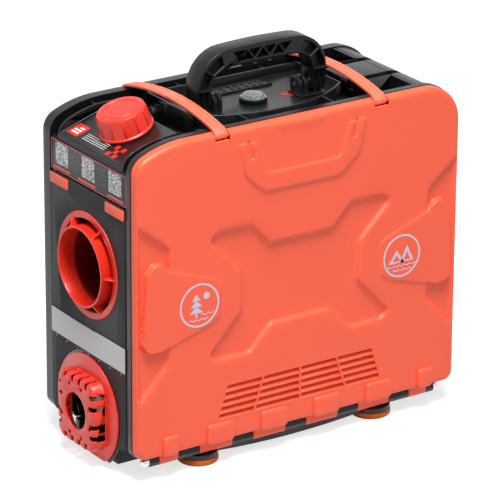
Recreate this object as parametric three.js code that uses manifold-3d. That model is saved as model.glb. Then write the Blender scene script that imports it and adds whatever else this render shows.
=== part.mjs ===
// Suitcase diesel air heater, in millimetres. +X runs along the long side, +Y to the back, +Z up.
// The origin is on the ground, under the middle of the box round the whole object.
import * as THREE from 'three';
import * as BufferGeometryUtils from 'three/addons/utils/BufferGeometryUtils.js';
import Module from 'manifold-3d';

const wasm = await Module();
wasm.setup();

// ---- driving dimensions -------------------------------------------------------------------
const GAP = 0.3;                  // clearance between seated pieces
const RUN = 0.25;                 // running clearance round a pin or shaft
const WALL = 3;                   // moulded wall of frame, pan and covers

const COVER_WIDTH = 420;
const COVER_BOTTOM = 28;
const COVER_TOP = 382;
const COVER_DEPTH = 12;           // from rim face to main face
const COVER_LIP = 1;              // the rim stands this far outside the cover's outline
const COVER_EDGE = 5.5;           // rounding of the cover's edge
const CHEEK_DEPTH = 4;
const RAISED = 1.5;               // pods and handle-shaped band on the cover
const PANEL_SINK = 2.5;           // centre panel

const BODY_DEPTH = 169;           // between the two rim faces
const RIM_WIDTH = 7.5;
const RIM_FACE = BODY_DEPTH / 2;
const RIM_IN = RIM_FACE - RIM_WIDTH;
const CORNER_LOW = 12;
const CORNER_RIGHT = 44;
const SHOULDER_BIG = 128;         // the long soft shoulder at the filler end
const SHOULDER_SMALL = 22;
const SHOULDER_DROP = 17.5;
const SHOULDER_RUN = 38.5;
const SKIN_IN = 2;                // skin between the rims lies this far inside them
const END_IN = 26;                // the right end's skin, inside the rim
const HUMP_OUT = 12;              // the three bumper humps stand this far off that skin
const HUMP_WIDTH = 44;
const HUMP_PITCH = 54;
const HUMP_FOOT = 105;
const HUMP_CORNER = 32;

const RIB_Y = 63;                 // inner faces of the two long top ribs
const RIB = 3;
const RIB_DROP = 3;
const TROUGH_FLOOR = 364;
const TRAY_FLOOR = 370;
const TRAY_LEFT = -92;
const TRAY_RIGHT = 100;
const TRAY_FRONT = 55;            // reach of the tray's curved front wall
const TRAY_ARC = 157;
const CROSS_RIB_X = [-160, -52, 58];
const DECK_SEAM = { low: 341, right: 163 };   // the tray moulding ends here, behind the label plate

const DECK_TILT = THREE.MathUtils.degToRad(18);
const DECK_POINT = [-162, 370];   // where the filler's axis meets the sloping deck
const DECK_TOP_X = -133.5;
const DECK_EDGE = 8;
const WELL_FLOOR = 355;
const WELL_RIGHT = -96;
const WELL_CORNER = 55;

const BREATHER = { x: -103, y: 35.5, z: 368 };

const POCKET = { left: 113, right: 159, inner: 33, floor: 352 };

const HINGE_Y = 83;
const HINGE_Z = 20;
const BARREL = 6;
const PIN = 2.2;
const KNUCKLE_PITCH = 70;
const KNUCKLE_WIDTH = 27;
const KNUCKLE_PLAY = 0.6;
const BUSH_END = 189;
const BUSH_WIDTH = 10.5;
const LEAF_IN = 4.7;              // thickness of a cover leaf behind its barrels

const PAN_LOW = 5;
const PAN_ARC = 1100;
const PAN_HALF_X = 190;
const PAN_HALF_Y = RIM_IN - 2 * GAP;
const PAN_LIP = 3.6;
const PAN_LIP_TOP = 13.4;

const FOOT = { x: 115.5, y: 68, pad: 23, base: 22.5, padHigh: 7, top: 12.9 };

const CORE_Z = 59;                // heater core and intake axis
const CORE_R = 50;
const CORE_LEFT = -199.5;
const CORE_RIGHT = 40;
const TUB = { left: -203, right: -30, half: 44, low: 5.5 };
const FLOOR_OPENING_RIGHT = 112;
const DUCT_Z = 225;
const DUCT_R = 42.2;
const DUCT_WALL = 2.5;
const DUCT_LEFT = -204;

const PANEL_PLAY = 2;             // between the end panel and the rims
const PANEL = { half: RIM_IN - PANEL_PLAY, low: 33, high: 311, thick: 2.4 };
const STRIP = { half: PANEL.half - 0.5, low: 125, high: 153, thick: 1 };
const LABEL = { half: RIM_IN - 2 * GAP, low: 313, high: 348.6, thick: 0.8 };

const INTAKE = { ring: 65, hole: 46, thick: 2.3, flange: 62, flangeThick: 2.5, low: 8 };
const HOOD = { half: 38, side: 40.5, corner: 15, deep: 15.4, wall: 2.4, eye: 21, dots: 31 };
const COLLAR = { outer: 60, inner: 52, thick: 3.6, spigot: 45, wall: 2.5, out: 13.5, webs: 6 };

const HANDLE = { y: -7, z: 384, half: 84, leg: 18, rise: 60, bar: 20, thick: 24, corner: 41, arch: 600 };
const HANDLE_TOP = HANDLE.z + HANDLE.rise;
const STRAP = { x: 103, width: 15, thick: 3, top: 397, arc: 350, end: 94.2, axisZ: 377.5, lap: 0.35 };
const COMPASS = { x: 3, y: 4, r: 15.5, wall: 2.2, high: 4.5, dome: 4 };
const CAP = { neck: 22, bore: 19, neckTop: 14, flange: 30.5, skirt: 28.5, crown: 26, high: 25 };
const TANK = { left: -196, right: 160, half: 80, low: 272, top: 345, wall: 2.5 };

// ---- values worked out from them ----------------------------------------------------------
const HALF = COVER_WIDTH / 2;
const COVER_BACK = RIM_FACE + GAP;
const COVER_FACE = RIM_FACE + COVER_DEPTH;
const RIM_X = HALF + COVER_LIP;
const RIM_TOP = COVER_TOP + COVER_LIP;
const RIM_LOW = COVER_BOTTOM - COVER_LIP;
const RIM_OUTLINE = [
  [-RIM_X, RIM_LOW, CORNER_LOW + COVER_LIP],
  [RIM_X, RIM_LOW, CORNER_LOW + COVER_LIP],
  [RIM_X, RIM_TOP, CORNER_RIGHT + COVER_LIP],
  [-RIM_X + SHOULDER_RUN, RIM_TOP, SHOULDER_BIG],
  [-RIM_X, RIM_TOP - SHOULDER_DROP, SHOULDER_SMALL],
];
const SKIN_LEFT = -RIM_X + SKIN_IN;
const SKIN_LOW = RIM_LOW + SKIN_IN;
const SKIN_RIGHT = RIM_X - END_IN;
const BASE_TOP = RIM_TOP - 1 - HUMP_OUT;
const END_FACE = SKIN_LEFT - GAP;  // the seat of everything fixed to the filler end
const HOOD_FRONT = END_FACE - INTAKE.thick - GAP - INTAKE.flangeThick - HOOD.deep;
const MIDDLE_X = (HOOD_FRONT + RIM_X) / 2;

// ---- colours and finishes -----------------------------------------------------------------
const BLACK = finish(0x242526, 0.55, 0);
const SATIN_BLACK = finish(0x303132, 0.4, 0);
const CHARCOAL = finish(0x4a4a4b, 0.75, 0);
const RED = finish(0xf4533a, 0.45, 0);
const STRAP_RED = finish(0xff7a62, 0.5, 0);
const DEEP_RED = finish(0xd8361f, 0.4, 0);
const ORANGE = finish(0xd86a1e, 0.8, 0);
const CHROME = finish(0xd9dadb, 0.15, 1);
const SILVER = finish(0xc8c8c8, 0.5, 0.2);
const ALUMINIUM = finish(0xb4b6b8, 0.4, 1);
const STEEL = finish(0x8f9294, 0.35, 1);
const TANK_WHITE = finish(0xd9d6cb, 0.5, 0);
const RUBBER = finish(0x1b1b1b, 0.85, 0);
const GLASS = finish(0xdfeee6, 0.05, 0);
const GREEN = finish(0x2f6b4c, 0.5, 0);

function finish(color, roughness, metalness) {
  return new THREE.MeshStandardMaterial({ color, roughness, metalness });
}

// ---- outlines -----------------------------------------------------------------------------
function arcSteps(radius, sweep) {
  const longest = radius > 60 ? 14 : 8;
  return Math.ceil(Math.abs(sweep) * radius / longest);
}

// Corners [a, b, radius], counter-clockwise, turned into points with an arc at each corner.
// Each point carries the way out of the outline there.
function border(corners) {
  const found = [];
  corners.forEach(([a, b, radius = 0], i) => {
    const here = new THREE.Vector2(a, b);
    const before = corners[(i + corners.length - 1) % corners.length];
    const after = corners[(i + 1) % corners.length];
    const back = new THREE.Vector2(before[0], before[1]).sub(here).normalize();
    const on = new THREE.Vector2(after[0], after[1]).sub(here).normalize();
    const half = Math.acos(THREE.MathUtils.clamp(back.dot(on), -1, 1)) / 2;
    const turn = Math.sign(on.cross(back));
    const bisector = back.clone().add(on).normalize();
    if (radius <= 0) {
      found.push({ point: here, out: bisector.multiplyScalar(-turn / Math.sin(half)) });
      return;
    }
    const centre = here.clone().addScaledVector(bisector, radius / Math.sin(half));
    const start = here.clone().addScaledVector(back, radius / Math.tan(half)).sub(centre);
    const sweep = turn * (Math.PI - 2 * half);
    const steps = arcSteps(radius, sweep);
    for (let k = 0; k <= steps; k += 1) {
      const arm = start.clone().rotateAround(new THREE.Vector2(), sweep * k / steps);
      found.push({ point: arm.clone().add(centre), out: arm.multiplyScalar(turn / radius) });
    }
  });
  return found.filter(({ point }, i) => point.distanceTo(found[(i + 1) % found.length].point) > 0.02);
}

function rounded(corners) {
  return border(corners).map(({ point }) => point);
}

// The same corners moved inwards by d, each round shrinking with them.
function inset(corners, d) {
  return corners.map(([a, b, radius = 0], i) => {
    const here = new THREE.Vector2(a, b);
    const before = corners[(i + corners.length - 1) % corners.length];
    const after = corners[(i + 1) % corners.length];
    const back = new THREE.Vector2(before[0], before[1]).sub(here).normalize();
    const on = new THREE.Vector2(after[0], after[1]).sub(here).normalize();
    const turn = Math.sign(on.cross(back));
    const half = Math.acos(THREE.MathUtils.clamp(back.dot(on), -1, 1)) / 2;
    const inward = back.clone().add(on).normalize().multiplyScalar(turn * d / Math.sin(half));
    const moved = here.add(inward);
    return [moved.x, moved.y, radius > 0 ? Math.max(0.5, radius - turn * d) : 0];
  });
}

function mirrorOutline(corners) {
  return corners.map(([a, b, radius]) => [-a, b, radius]).reverse();
}

function rectangle(a0, a1, b0, b1, radius = 0) {
  return [[a0, b0, radius], [a1, b0, radius], [a1, b1, radius], [a0, b1, radius]];
}

function circle(a, b, radius, sides) {
  return Array.from({ length: sides }, (_, k) => {
    const angle = 2 * Math.PI * k / sides;
    return new THREE.Vector2(a + radius * Math.cos(angle), b + radius * Math.sin(angle));
  });
}

// ---- solids -------------------------------------------------------------------------------
function solid(geometry) {
  geometry.deleteAttribute('normal');
  geometry.deleteAttribute('uv');
  const merged = BufferGeometryUtils.mergeVertices(geometry, 1e-4);
  return new wasm.Manifold(new wasm.Mesh({
    numProp: 3,
    vertProperties: new Float32Array(merged.attributes.position.array),
    triVerts: new Uint32Array(merged.index.array),
  }));
}

function extruded(points, holes, length, options = {}) {
  const shape = new THREE.Shape(points);
  shape.holes = holes.map((hole) => new THREE.Path(hole));
  return new THREE.ExtrudeGeometry(shape, { depth: length, bevelEnabled: false, ...options });
}

// An outline in X and Z pushed along Y.
function prismY(points, y0, y1, ...holes) {
  const geometry = extruded(points, holes, y1 - y0);
  geometry.rotateX(Math.PI / 2);
  geometry.translate(0, y1, 0);
  return solid(geometry);
}

// An outline in Y and Z pushed along X.
function prismX(points, x0, x1, ...holes) {
  const geometry = extruded(points, holes, x1 - x0);
  const turn = new THREE.Matrix4().makeBasis(
    new THREE.Vector3(0, 1, 0), new THREE.Vector3(0, 0, 1), new THREE.Vector3(1, 0, 0));
  geometry.applyMatrix4(turn);
  geometry.translate(x0, 0, 0);
  return solid(geometry);
}

// An outline in X and Y pushed along Z.
function prismZ(points, z0, z1, ...holes) {
  const geometry = extruded(points, holes, z1 - z0);
  geometry.translate(0, 0, z0);
  return solid(geometry);
}

function box(x0, x1, y0, y1, z0, z1) {
  const geometry = new THREE.BoxGeometry(x1 - x0, y1 - y0, z1 - z0);
  geometry.translate((x0 + x1) / 2, (y0 + y1) / 2, (z0 + z1) / 2);
  return solid(geometry);
}

// A solid through copies of one outline, each at [y, inset], from the back to the front.
function lofted(corners, levels) {
  const ring = border(corners);
  const count = ring.length;
  const position = levels.flatMap(([y, d]) => ring.flatMap(({ point, out }) => {
    return [point.x - out.x * d, y, point.y - out.y * d];
  }));
  const faces = THREE.ShapeUtils.triangulateShape(ring.map(({ point }) => point), []);
  const last = (levels.length - 1) * count;
  const index = faces.flatMap(([a, b, c]) => [a, c, b, last + a, last + b, last + c]);
  for (let level = 0; level + 1 < levels.length; level += 1) {
    for (let k = 0; k < count; k += 1) {
      const a = level * count + k;
      const b = level * count + (k + 1) % count;
      index.push(a, b, b + count, a, b + count, a + count);
    }
  }
  const geometry = new THREE.BufferGeometry();
  geometry.setAttribute('position', new THREE.Float32BufferAttribute(position, 3));
  geometry.setIndex(index);
  return solid(geometry);
}

// A closed profile of [radius, height] turned about an axis through origin along direction.
function turned(profile, origin, direction, sides = 20) {
  const points = profile.map(([r, h]) => new THREE.Vector2(r, h));
  points.push(points[0].clone());
  const geometry = new THREE.LatheGeometry(points, sides);
  const up = new THREE.Vector3(0, 1, 0);
  const aim = new THREE.Vector3(...direction).normalize();
  geometry.applyQuaternion(new THREE.Quaternion().setFromUnitVectors(up, aim));
  geometry.translate(...origin);
  return solid(geometry);
}

function rod(radius, from, to, sides = 16) {
  const start = new THREE.Vector3(...from);
  const along = new THREE.Vector3(...to).sub(start);
  const profile = [[0, 0], [radius, 0], [radius, along.length()], [0, along.length()]];
  const points = profile.map(([r, h]) => new THREE.Vector2(r, h));
  const geometry = new THREE.LatheGeometry(points, sides);
  const up = new THREE.Vector3(0, 1, 0);
  geometry.applyQuaternion(new THREE.Quaternion().setFromUnitVectors(up, along.clone().normalize()));
  geometry.translate(...from);
  return solid(geometry);
}

function pipe(points, outer, inner, sides, steps) {
  const path = new THREE.CatmullRomCurve3(points.map((p) => new THREE.Vector3(...p)), false, 'centripetal');
  return sweep(path, outer, inner, sides, steps);
}

function sweep(path, outer, inner, sides, steps) {
  const holes = inner > 0 ? [circle(0, 0, inner, sides)] : [];
  return solid(extruded(circle(0, 0, outer, sides), holes, 1, { extrudePath: path, steps }));
}

function joined(first, ...others) {
  return others.reduce((sum, next) => sum.add(next), first);
}

function cut(from, ...others) {
  return others.reduce((rest, next) => rest.subtract(next), from);
}

function geometryOf(manifold) {
  const mesh = manifold.getMesh();
  const geometry = new THREE.BufferGeometry();
  geometry.setAttribute('position', new THREE.BufferAttribute(mesh.vertProperties.slice(), 3));
  geometry.setIndex(new THREE.BufferAttribute(mesh.triVerts.slice(), 1));
  geometry.computeVertexNormals();
  return geometry;
}

// The same piece on the other side of the plane y = 0.
function mirroredY(geometry) {
  const copy = geometry.clone();
  copy.scale(1, -1, 1);
  const index = copy.index.array;
  for (let i = 0; i < index.length; i += 3) {
    const first = index[i];
    index[i] = index[i + 1];
    index[i + 1] = first;
  }
  copy.computeVertexNormals();
  return copy;
}

const heater = new THREE.Group();

function add(name, manifold, material) {
  const geometry = manifold.isBufferGeometry ? manifold.clone() : geometryOf(manifold);
  geometry.translate(-MIDDLE_X, 0, 0);
  const mesh = new THREE.Mesh(geometry, material);
  mesh.name = name;
  heater.add(mesh);
  return mesh;
}

// ---- frame --------------------------------------------------------------------------------
// Plan of a wall ring: outline of the hollow inside it, and the same outline moved out by RIB.
const WELL_PLAN = [
  [-230, -RIB_Y, 0],
  [WELL_RIGHT, -RIB_Y, WELL_CORNER],
  [WELL_RIGHT, RIB_Y, WELL_CORNER],
  [-230, RIB_Y, 0],
];

function trayPlan(grow) {
  const points = [
    new THREE.Vector2(TRAY_RIGHT + grow, RIB_Y + grow),
    new THREE.Vector2(TRAY_LEFT - grow, RIB_Y + grow),
  ];
  const centre = TRAY_ARC - TRAY_FRONT;
  const radius = TRAY_ARC + grow;
  const steps = 10;
  for (let k = 0; k <= steps; k += 1) {
    const x = THREE.MathUtils.lerp(TRAY_LEFT - grow, TRAY_RIGHT + grow, k / steps);
    points.push(new THREE.Vector2(x, centre - Math.sqrt(radius * radius - x * x)));
  }
  return points;
}

function cavityOutline() {
  return [
    new THREE.Vector2(SKIN_LEFT + WALL, SKIN_LOW + WALL),
    new THREE.Vector2(SKIN_RIGHT - WALL, SKIN_LOW + WALL),
    new THREE.Vector2(SKIN_RIGHT - WALL, POCKET.floor - WALL),
    new THREE.Vector2(POCKET.left - WALL, POCKET.floor - WALL),
    new THREE.Vector2(POCKET.left - WALL, TROUGH_FLOOR - WALL),
    new THREE.Vector2(WELL_RIGHT + WALL, TROUGH_FLOOR - WALL),
    new THREE.Vector2(WELL_RIGHT + WALL, WELL_FLOOR - WALL),
    new THREE.Vector2(DECK_TOP_X - WALL, WELL_FLOOR - WALL),
    new THREE.Vector2(-168, 354),
    new THREE.Vector2(-194, 343),
    new THREE.Vector2(SKIN_LEFT + WALL, 336),
  ];
}

// The sloping deck round the filler, as a block to add inside the well.
function deckBlock() {
  const slope = Math.tan(DECK_TILT);
  const heightAt = (x) => DECK_POINT[1] + (x - DECK_POINT[0]) * slope;
  const block = [
    [SKIN_LEFT, WELL_FLOOR - 12, 0],
    [DECK_TOP_X, WELL_FLOOR - 12, 0],
    [DECK_TOP_X, heightAt(DECK_TOP_X), 2],
    [SKIN_LEFT, heightAt(SKIN_LEFT), DECK_EDGE],
  ];
  return prismY(rounded(block), -RIB_Y - 0.5, RIB_Y + 0.5);
}

function filler(radius, from, to, sides = 20) {
  const away = [-Math.sin(DECK_TILT), 0, Math.cos(DECK_TILT)];
  const at = (h) => [DECK_POINT[0] + away[0] * h, 0, DECK_POINT[1] + away[2] * h];
  return rod(radius, at(from), at(to), sides);
}

function topLandscape() {
  const under = prismY(rounded(inset(RIM_OUTLINE, RIM_TOP - TROUGH_FLOOR)), -RIM_IN, RIM_IN);
  const above = cut(box(-220, POCKET.left - WALL, -RIM_IN, RIM_IN, 350, 400), under);
  const walls = joined(
    prismZ(rounded(inset(WELL_PLAN, -RIB)), 340, 400),
    prismZ(trayPlan(RIB), 345, 400),
  );
  const ribs = CROSS_RIB_X.map((x) => box(x - 1, x + 1, -RIM_IN - 0.5, RIM_IN + 0.5, 345, 400));
  const keep = prismY(rounded(inset(RIM_OUTLINE, RIB_DROP)), -RIM_IN - 0.5, RIM_IN + 0.5);
  return { above, raised: joined(walls, ...ribs).intersect(keep) };
}

function bumperHumps() {
  const outline = [
    [150, HUMP_FOOT, 0],
    [SKIN_RIGHT + HUMP_OUT, HUMP_FOOT + 2 * HUMP_OUT, 8],
    [SKIN_RIGHT + HUMP_OUT, BASE_TOP + HUMP_OUT, HUMP_CORNER],
    [POCKET.left - WALL, BASE_TOP + HUMP_OUT, 0],
    [POCKET.left - WALL, POCKET.floor, 0],
  ];
  return [-1, 0, 1].map((k) => {
    const middle = k * HUMP_PITCH;
    return prismY(rounded(outline), middle - HUMP_WIDTH / 2, middle + HUMP_WIDTH / 2);
  });
}

function pockets() {
  return [-1, 1].map((side) => {
    const inner = side * POCKET.inner;
    const outer = side * (RIM_IN - 0.01);
    const span = [Math.min(inner, outer), Math.max(inner, outer)];
    return box(POCKET.left, POCKET.right, ...span, POCKET.floor, 400);
  });
}

function frameKnuckles(side) {
  const y = side * HINGE_Y;
  const pieces = [];
  const spans = [-2, -1, 0, 1, 2].map((k) => [k * KNUCKLE_PITCH - KNUCKLE_WIDTH / 2, KNUCKLE_WIDTH]);
  spans.push([-BUSH_END, BUSH_WIDTH], [BUSH_END - BUSH_WIDTH, BUSH_WIDTH]);
  const web = [side * RIM_IN, side * RIM_FACE].sort((a, b) => a - b);
  for (const [x, width] of spans) {
    pieces.push(rod(BARREL, [x, y, HINGE_Z], [x + width, y, HINGE_Z], 8));
    pieces.push(box(x, x + width, ...web, HINGE_Z, RIM_LOW + 3));
  }
  return pieces;
}

function caseBody() {
  const hollow = prismY(cavityOutline(), -RIM_FACE - 1, RIM_FACE + 1);
  const skin = [
    [SKIN_LEFT, SKIN_LOW, CORNER_LOW],
    [SKIN_RIGHT, SKIN_LOW, CORNER_LOW],
    [SKIN_RIGHT, BASE_TOP, HUMP_CORNER - HUMP_OUT],
    [SKIN_LEFT, BASE_TOP, 0],
  ];
  const tall = prismY(rounded(RIM_OUTLINE), -RIM_FACE, RIM_FACE);
  const rimFronts = joined(
    prismY(rounded(RIM_OUTLINE), -RIM_FACE, -RIM_IN),
    prismY(rounded(RIM_OUTLINE), RIM_IN, RIM_FACE),
  );
  const { above, raised } = topLandscape();
  let body = cut(prismY(rounded(skin), -RIM_IN - 0.5, RIM_IN + 0.5).intersect(tall), above);
  body = joined(body, raised, ...bumperHumps().map((hump) => hump.intersect(tall)), rimFronts);
  body = cut(body, ...pockets());
  body = cut(body, prismZ(trayPlan(0), TRAY_FLOOR, 400));
  body = cut(body, prismZ(rounded(WELL_PLAN), WELL_FLOOR, 400).intersect(box(-230, WELL_RIGHT + 1,
    -RIB_Y, RIB_Y, 340, 400)));
  body = joined(body, deckBlock());
  body = cut(body, box(-230, -100, -RIB_Y, RIB_Y, 300, 400).subtract(deckBlock())
    .subtract(box(-230, -100, -RIB_Y, RIB_Y, 300, WELL_FLOOR)));
  body = cut(body, hollow);
  body = joined(body, breatherBoss(4.5 + WALL, 0));
  body = cut(body, filler(CAP.neck + GAP, -60, 10));
  body = cut(body, breatherBoss(4.5, 2));
  body = cut(body, box(TUB.left, FLOOR_OPENING_RIGHT, -TUB.half, TUB.half, SKIN_LOW - 3, SKIN_LOW + 4));
  body = cut(body, rod(INTAKE.hole, [-230, 0, CORE_Z], [SKIN_LEFT + WALL + 2, 0, CORE_Z]));
  body = cut(body, rod(COLLAR.inner, [-230, 0, DUCT_Z], [SKIN_LEFT + WALL + 2, 0, DUCT_Z]));
  body = joined(body, ...frameKnuckles(-1), ...frameKnuckles(1));
  const bore = [-1, 1].map((side) => rod(PIN + RUN, [-BUSH_END - 11, side * HINGE_Y, HINGE_Z],
    [BUSH_END + 11, side * HINGE_Y, HINGE_Z], 8));
  return cut(body, ...bore);
}

// The room of the tray moulding, which drops in between the two rims of the frame.
function deckRoom(grow) {
  return box(-230, DECK_SEAM.right + grow, -RIM_IN + GAP - grow, RIM_IN - GAP + grow,
    DECK_SEAM.low - grow, 400);
}

// The socket of the tank breather, on the round end wall of the well.
function breatherBoss(radius, deeper) {
  return rod(radius, [BREATHER.x - 5 - deeper, BREATHER.y, BREATHER.z],
    [BREATHER.x + 5, BREATHER.y, BREATHER.z], 20);
}

// ---- covers -------------------------------------------------------------------------------
const COVER_OUTLINE = inset(RIM_OUTLINE, COVER_LIP);
const FACE = -COVER_FACE;         // the front cover's main face; the rear cover is its mirror
const NOTCH = { half: 9.5, floor: 370, back: 87.5 };
const CHEEK = [[170, 135.5, 12], [204, 98.5, 10], [230, 88, 0], [230, 313, 0], [170, 265.5, 14]];
const X_HALF = [
  [0, 246, 0], [-41, 246, 8], [-66, 271.5, 8], [-107, 271.5, 10], [-119, 264, 6], [-77, 222.5, 8],
  [-76, 177, 8], [-119, 131, 6], [-107, 124.5, 6], [-66, 124, 8], [-38.5, 152, 8], [0, 152, 0],
];
const POD = [
  [104, 214.5, 5], [106, 177, 5], [116, 169.5, 8], [168, 154.5, 14], [182, 150.5, 8], [196, 151.5, 8],
  [203, 160, 5], [198, 240, 6], [189, 251.5, 6], [178, 249.5, 5], [168, 239.5, 8], [114, 221, 8],
];
const BAND = [
  [-83, 366.5, 3], [-74, 328, 20], [-50, 306.5, 16], [50, 306.5, 16], [74, 328, 20], [83, 366.5, 3],
  [60, 364, 3], [49, 327, 8], [-49, 327, 8], [-60, 364, 3],
];
const BUMPS = [[-169, 20], [-105, 35], [-35, 35], [35, 35], [105, 35], [169, 20]];
const LOUVRE = { low: 53.4, rows: 5, pitch: 8, lean: 13, edges: [-109, -61, 0, 61, 109], depth: 7.5 };

function reversed(corners) {
  return [...corners].reverse();
}

function louvres() {
  const cuts = [];
  for (let row = 0; row < LOUVRE.rows; row += 1) {
    const low = LOUVRE.low + row * LOUVRE.pitch;
    const high = low + LOUVRE.pitch - 1.2;
    const lean = LOUVRE.lean * (row + 0.5) / LOUVRE.rows;
    for (let cell = 0; cell < LOUVRE.edges.length - 1; cell += 1) {
      const x0 = LOUVRE.edges[cell] - Math.sign(LOUVRE.edges[cell]) * lean + 1.5;
      const x1 = LOUVRE.edges[cell + 1] - Math.sign(LOUVRE.edges[cell + 1]) * lean - 1.5;
      const wedge = [
        new THREE.Vector2(FACE - 0.5, low),
        new THREE.Vector2(FACE - 0.5, high),
        new THREE.Vector2(FACE + LOUVRE.depth, high),
      ];
      cuts.push(prismX(wedge, x0, x1));
    }
  }
  return cuts;
}

function coverKnuckles() {
  const pieces = [];
  const half = KNUCKLE_WIDTH / 2 + KNUCKLE_PLAY;
  const spans = [-2, -1, 0, 1].map((k) => [k * KNUCKLE_PITCH + half, (k + 1) * KNUCKLE_PITCH - half]);
  const last = BUSH_END - BUSH_WIDTH - KNUCKLE_PLAY;
  spans.push([-last, -2 * KNUCKLE_PITCH - half], [2 * KNUCKLE_PITCH + half, last]);
  for (const [x0, x1] of spans) {
    pieces.push(rod(BARREL, [x0, -HINGE_Y, HINGE_Z], [x1, -HINGE_Y, HINGE_Z], 8));
    pieces.push(box(x0, x1, -COVER_BACK - LEAF_IN, -COVER_BACK, HINGE_Z, COVER_BOTTOM + 4));
  }
  return pieces;
}

// A slab facing -Y: outline in X and Z, its front edge rounded off by edge.
function pillow(corners, back, front, edge, steps) {
  const levels = [[back, 0]];
  for (let k = 0; k <= steps; k += 1) {
    const angle = Math.PI / 2 * k / steps;
    levels.push([front + edge * (1 - Math.sin(angle)), edge * (1 - Math.cos(angle))]);
  }
  return lofted(corners, levels);
}

function raisedShape(corners, height, edge) {
  return pillow(corners, FACE + 5, FACE - height, edge, 1);
}

function cover() {
  const inside = FACE + PANEL_SINK + WALL;
  let hollow = prismY(rounded(inset(COVER_OUTLINE, WALL + 1)), inside, -COVER_BACK + 1);
  const cheeks = [CHEEK, mirrorOutline(CHEEK)];
  const backing = cheeks.map((c) => prismY(rounded(inset(c, -WALL)), FACE, FACE + CHEEK_DEPTH + WALL));
  const pocket = 2 * NOTCH.half + 2 * WALL;
  for (const side of [-1, 1]) {
    const middle = side * STRAP.x;
    backing.push(box(middle - pocket / 2, middle + pocket / 2, FACE - 1, 0, NOTCH.floor - WALL, 400));
  }
  hollow = cut(hollow, ...backing);
  let shell = cut(pillow(COVER_OUTLINE, -COVER_BACK, FACE, COVER_EDGE, 2), hollow);
  shell = cut(shell, ...cheeks.map((c) => prismY(rounded(c), FACE - 1, FACE + CHEEK_DEPTH)));
  const cross = joined(
    prismY(rounded(reversed(mirrorOutline(X_HALF)).reverse()), FACE - 1, FACE + PANEL_SINK),
    prismY(rounded(X_HALF), FACE - 1, FACE + PANEL_SINK),
  );
  const pods = [POD, mirrorOutline(POD)].map((c) => raisedShape(c, RAISED, 2));
  shell = joined(cut(shell, cross), ...pods, raisedShape(BAND, RAISED, 1.5));
  shell = joined(shell, ...BUMPS.map(([x, width]) => {
    return raisedShape(rectangle(x - width / 2, x + width / 2, 30, 51), 4.5, 4);
  }));
  shell = joined(cut(shell, ...louvres()), ...coverKnuckles());
  shell = cut(shell, rod(PIN + RUN, [-BUSH_END - 11, -HINGE_Y, HINGE_Z],
    [BUSH_END + 11, -HINGE_Y, HINGE_Z], 8));
  for (const side of [-1, 1]) {
    const x = side * STRAP.x;
    const half = NOTCH.half;
    shell = cut(shell, box(x - half, x + half, FACE - 5, -NOTCH.back, NOTCH.floor, 400));
    shell = cut(shell, box(x - half, x + half, -NOTCH.back - 1, 0, STRAP.axisZ + 2, 400));
    shell = cut(shell, rod(PIN + RUN, [x - half - 1.5, -TRUNNION_Y, STRAP.axisZ],
      [x + half + 1.5, -TRUNNION_Y, STRAP.axisZ], 8));
  }
  return shell;
}

// ---- latch straps -------------------------------------------------------------------------
const TRUNNION_Y = 91.2;

// Half a strap, as the front one: a hook pivoting in the cover's notch, and an arch over the top.
// The free ends meet in a slanted lap, with the front half above.
function strapHalf(topEnd, underEnd) {
  const centre = STRAP.top - STRAP.arc;
  const heightAt = (y) => centre + Math.sqrt(STRAP.arc ** 2 - y * y);
  const bend = -TRUNNION_Y + 3;
  const steps = 6;
  const outline = [];
  for (let k = 0; k <= steps; k += 1) {
    const y = THREE.MathUtils.lerp(topEnd, bend, k / steps);
    outline.push(new THREE.Vector2(y, heightAt(y)));
  }
  outline.push(new THREE.Vector2(-STRAP.end, STRAP.axisZ + 3));
  for (let k = 0; k <= 4; k += 1) {
    const angle = Math.PI * (1 + k / 4);
    outline.push(new THREE.Vector2(-TRUNNION_Y + 3 * Math.cos(angle), STRAP.axisZ + 3 * Math.sin(angle)));
  }
  for (let k = steps; k >= 0; k -= 1) {
    const y = THREE.MathUtils.lerp(underEnd, bend + 2, k / steps);
    outline.push(new THREE.Vector2(y, heightAt(y) - STRAP.thick));
  }
  const band = prismX(outline, -STRAP.width / 2, STRAP.width / 2);
  const reach = NOTCH.half + 1.2;
  return joined(band, rod(PIN, [-reach, -TRUNNION_Y, STRAP.axisZ], [reach, -TRUNNION_Y, STRAP.axisZ], 8));
}

function straps() {
  const over = (STRAP.thick / 2 - GAP / 2) / STRAP.lap;
  const under = (STRAP.thick / 2 + GAP / 2) / STRAP.lap;
  const front = geometryOf(strapHalf(over, -under));
  const rear = mirroredY(geometryOf(strapHalf(-under, over)));
  for (const [side, x] of [['left', -STRAP.x], ['right', STRAP.x]]) {
    add(`strap_front_${side}`, front.clone().translate(x, 0, 0), STRAP_RED);
    add(`strap_rear_${side}`, rear.clone().translate(x, 0, 0), STRAP_RED);
  }
}

// ---- hinge pins and nuts ------------------------------------------------------------------
function hingePin() {
  return rod(PIN, [-BUSH_END - 6, -HINGE_Y, HINGE_Z], [BUSH_END + 6, -HINGE_Y, HINGE_Z], 8);
}

// Domed cap nut screwed on the pin's end, outside the bush.
function capNut(side) {
  const start = BUSH_END + GAP;
  const nut = [[PIN + GAP / 2, 0], [4.6, 0], [4.6, 4.5], [3.2, 8], [0, 9.8], [0, 6.6],
    [PIN + GAP / 2, 6.6]];
  return turned(nut, [side * start, -HINGE_Y, HINGE_Z], [side, 0, 0], 8);
}

function hinges() {
  const pin = geometryOf(hingePin());
  add('front_hinge_pin', pin, CHROME);
  add('rear_hinge_pin', mirroredY(pin), CHROME);
  for (const [name, side] of [['left', -1], ['right', 1]]) {
    const nut = geometryOf(capNut(side));
    add(`front_hinge_nut_${name}`, nut, CHROME);
    add(`rear_hinge_nut_${name}`, mirroredY(nut), CHROME);
  }
}

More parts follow.
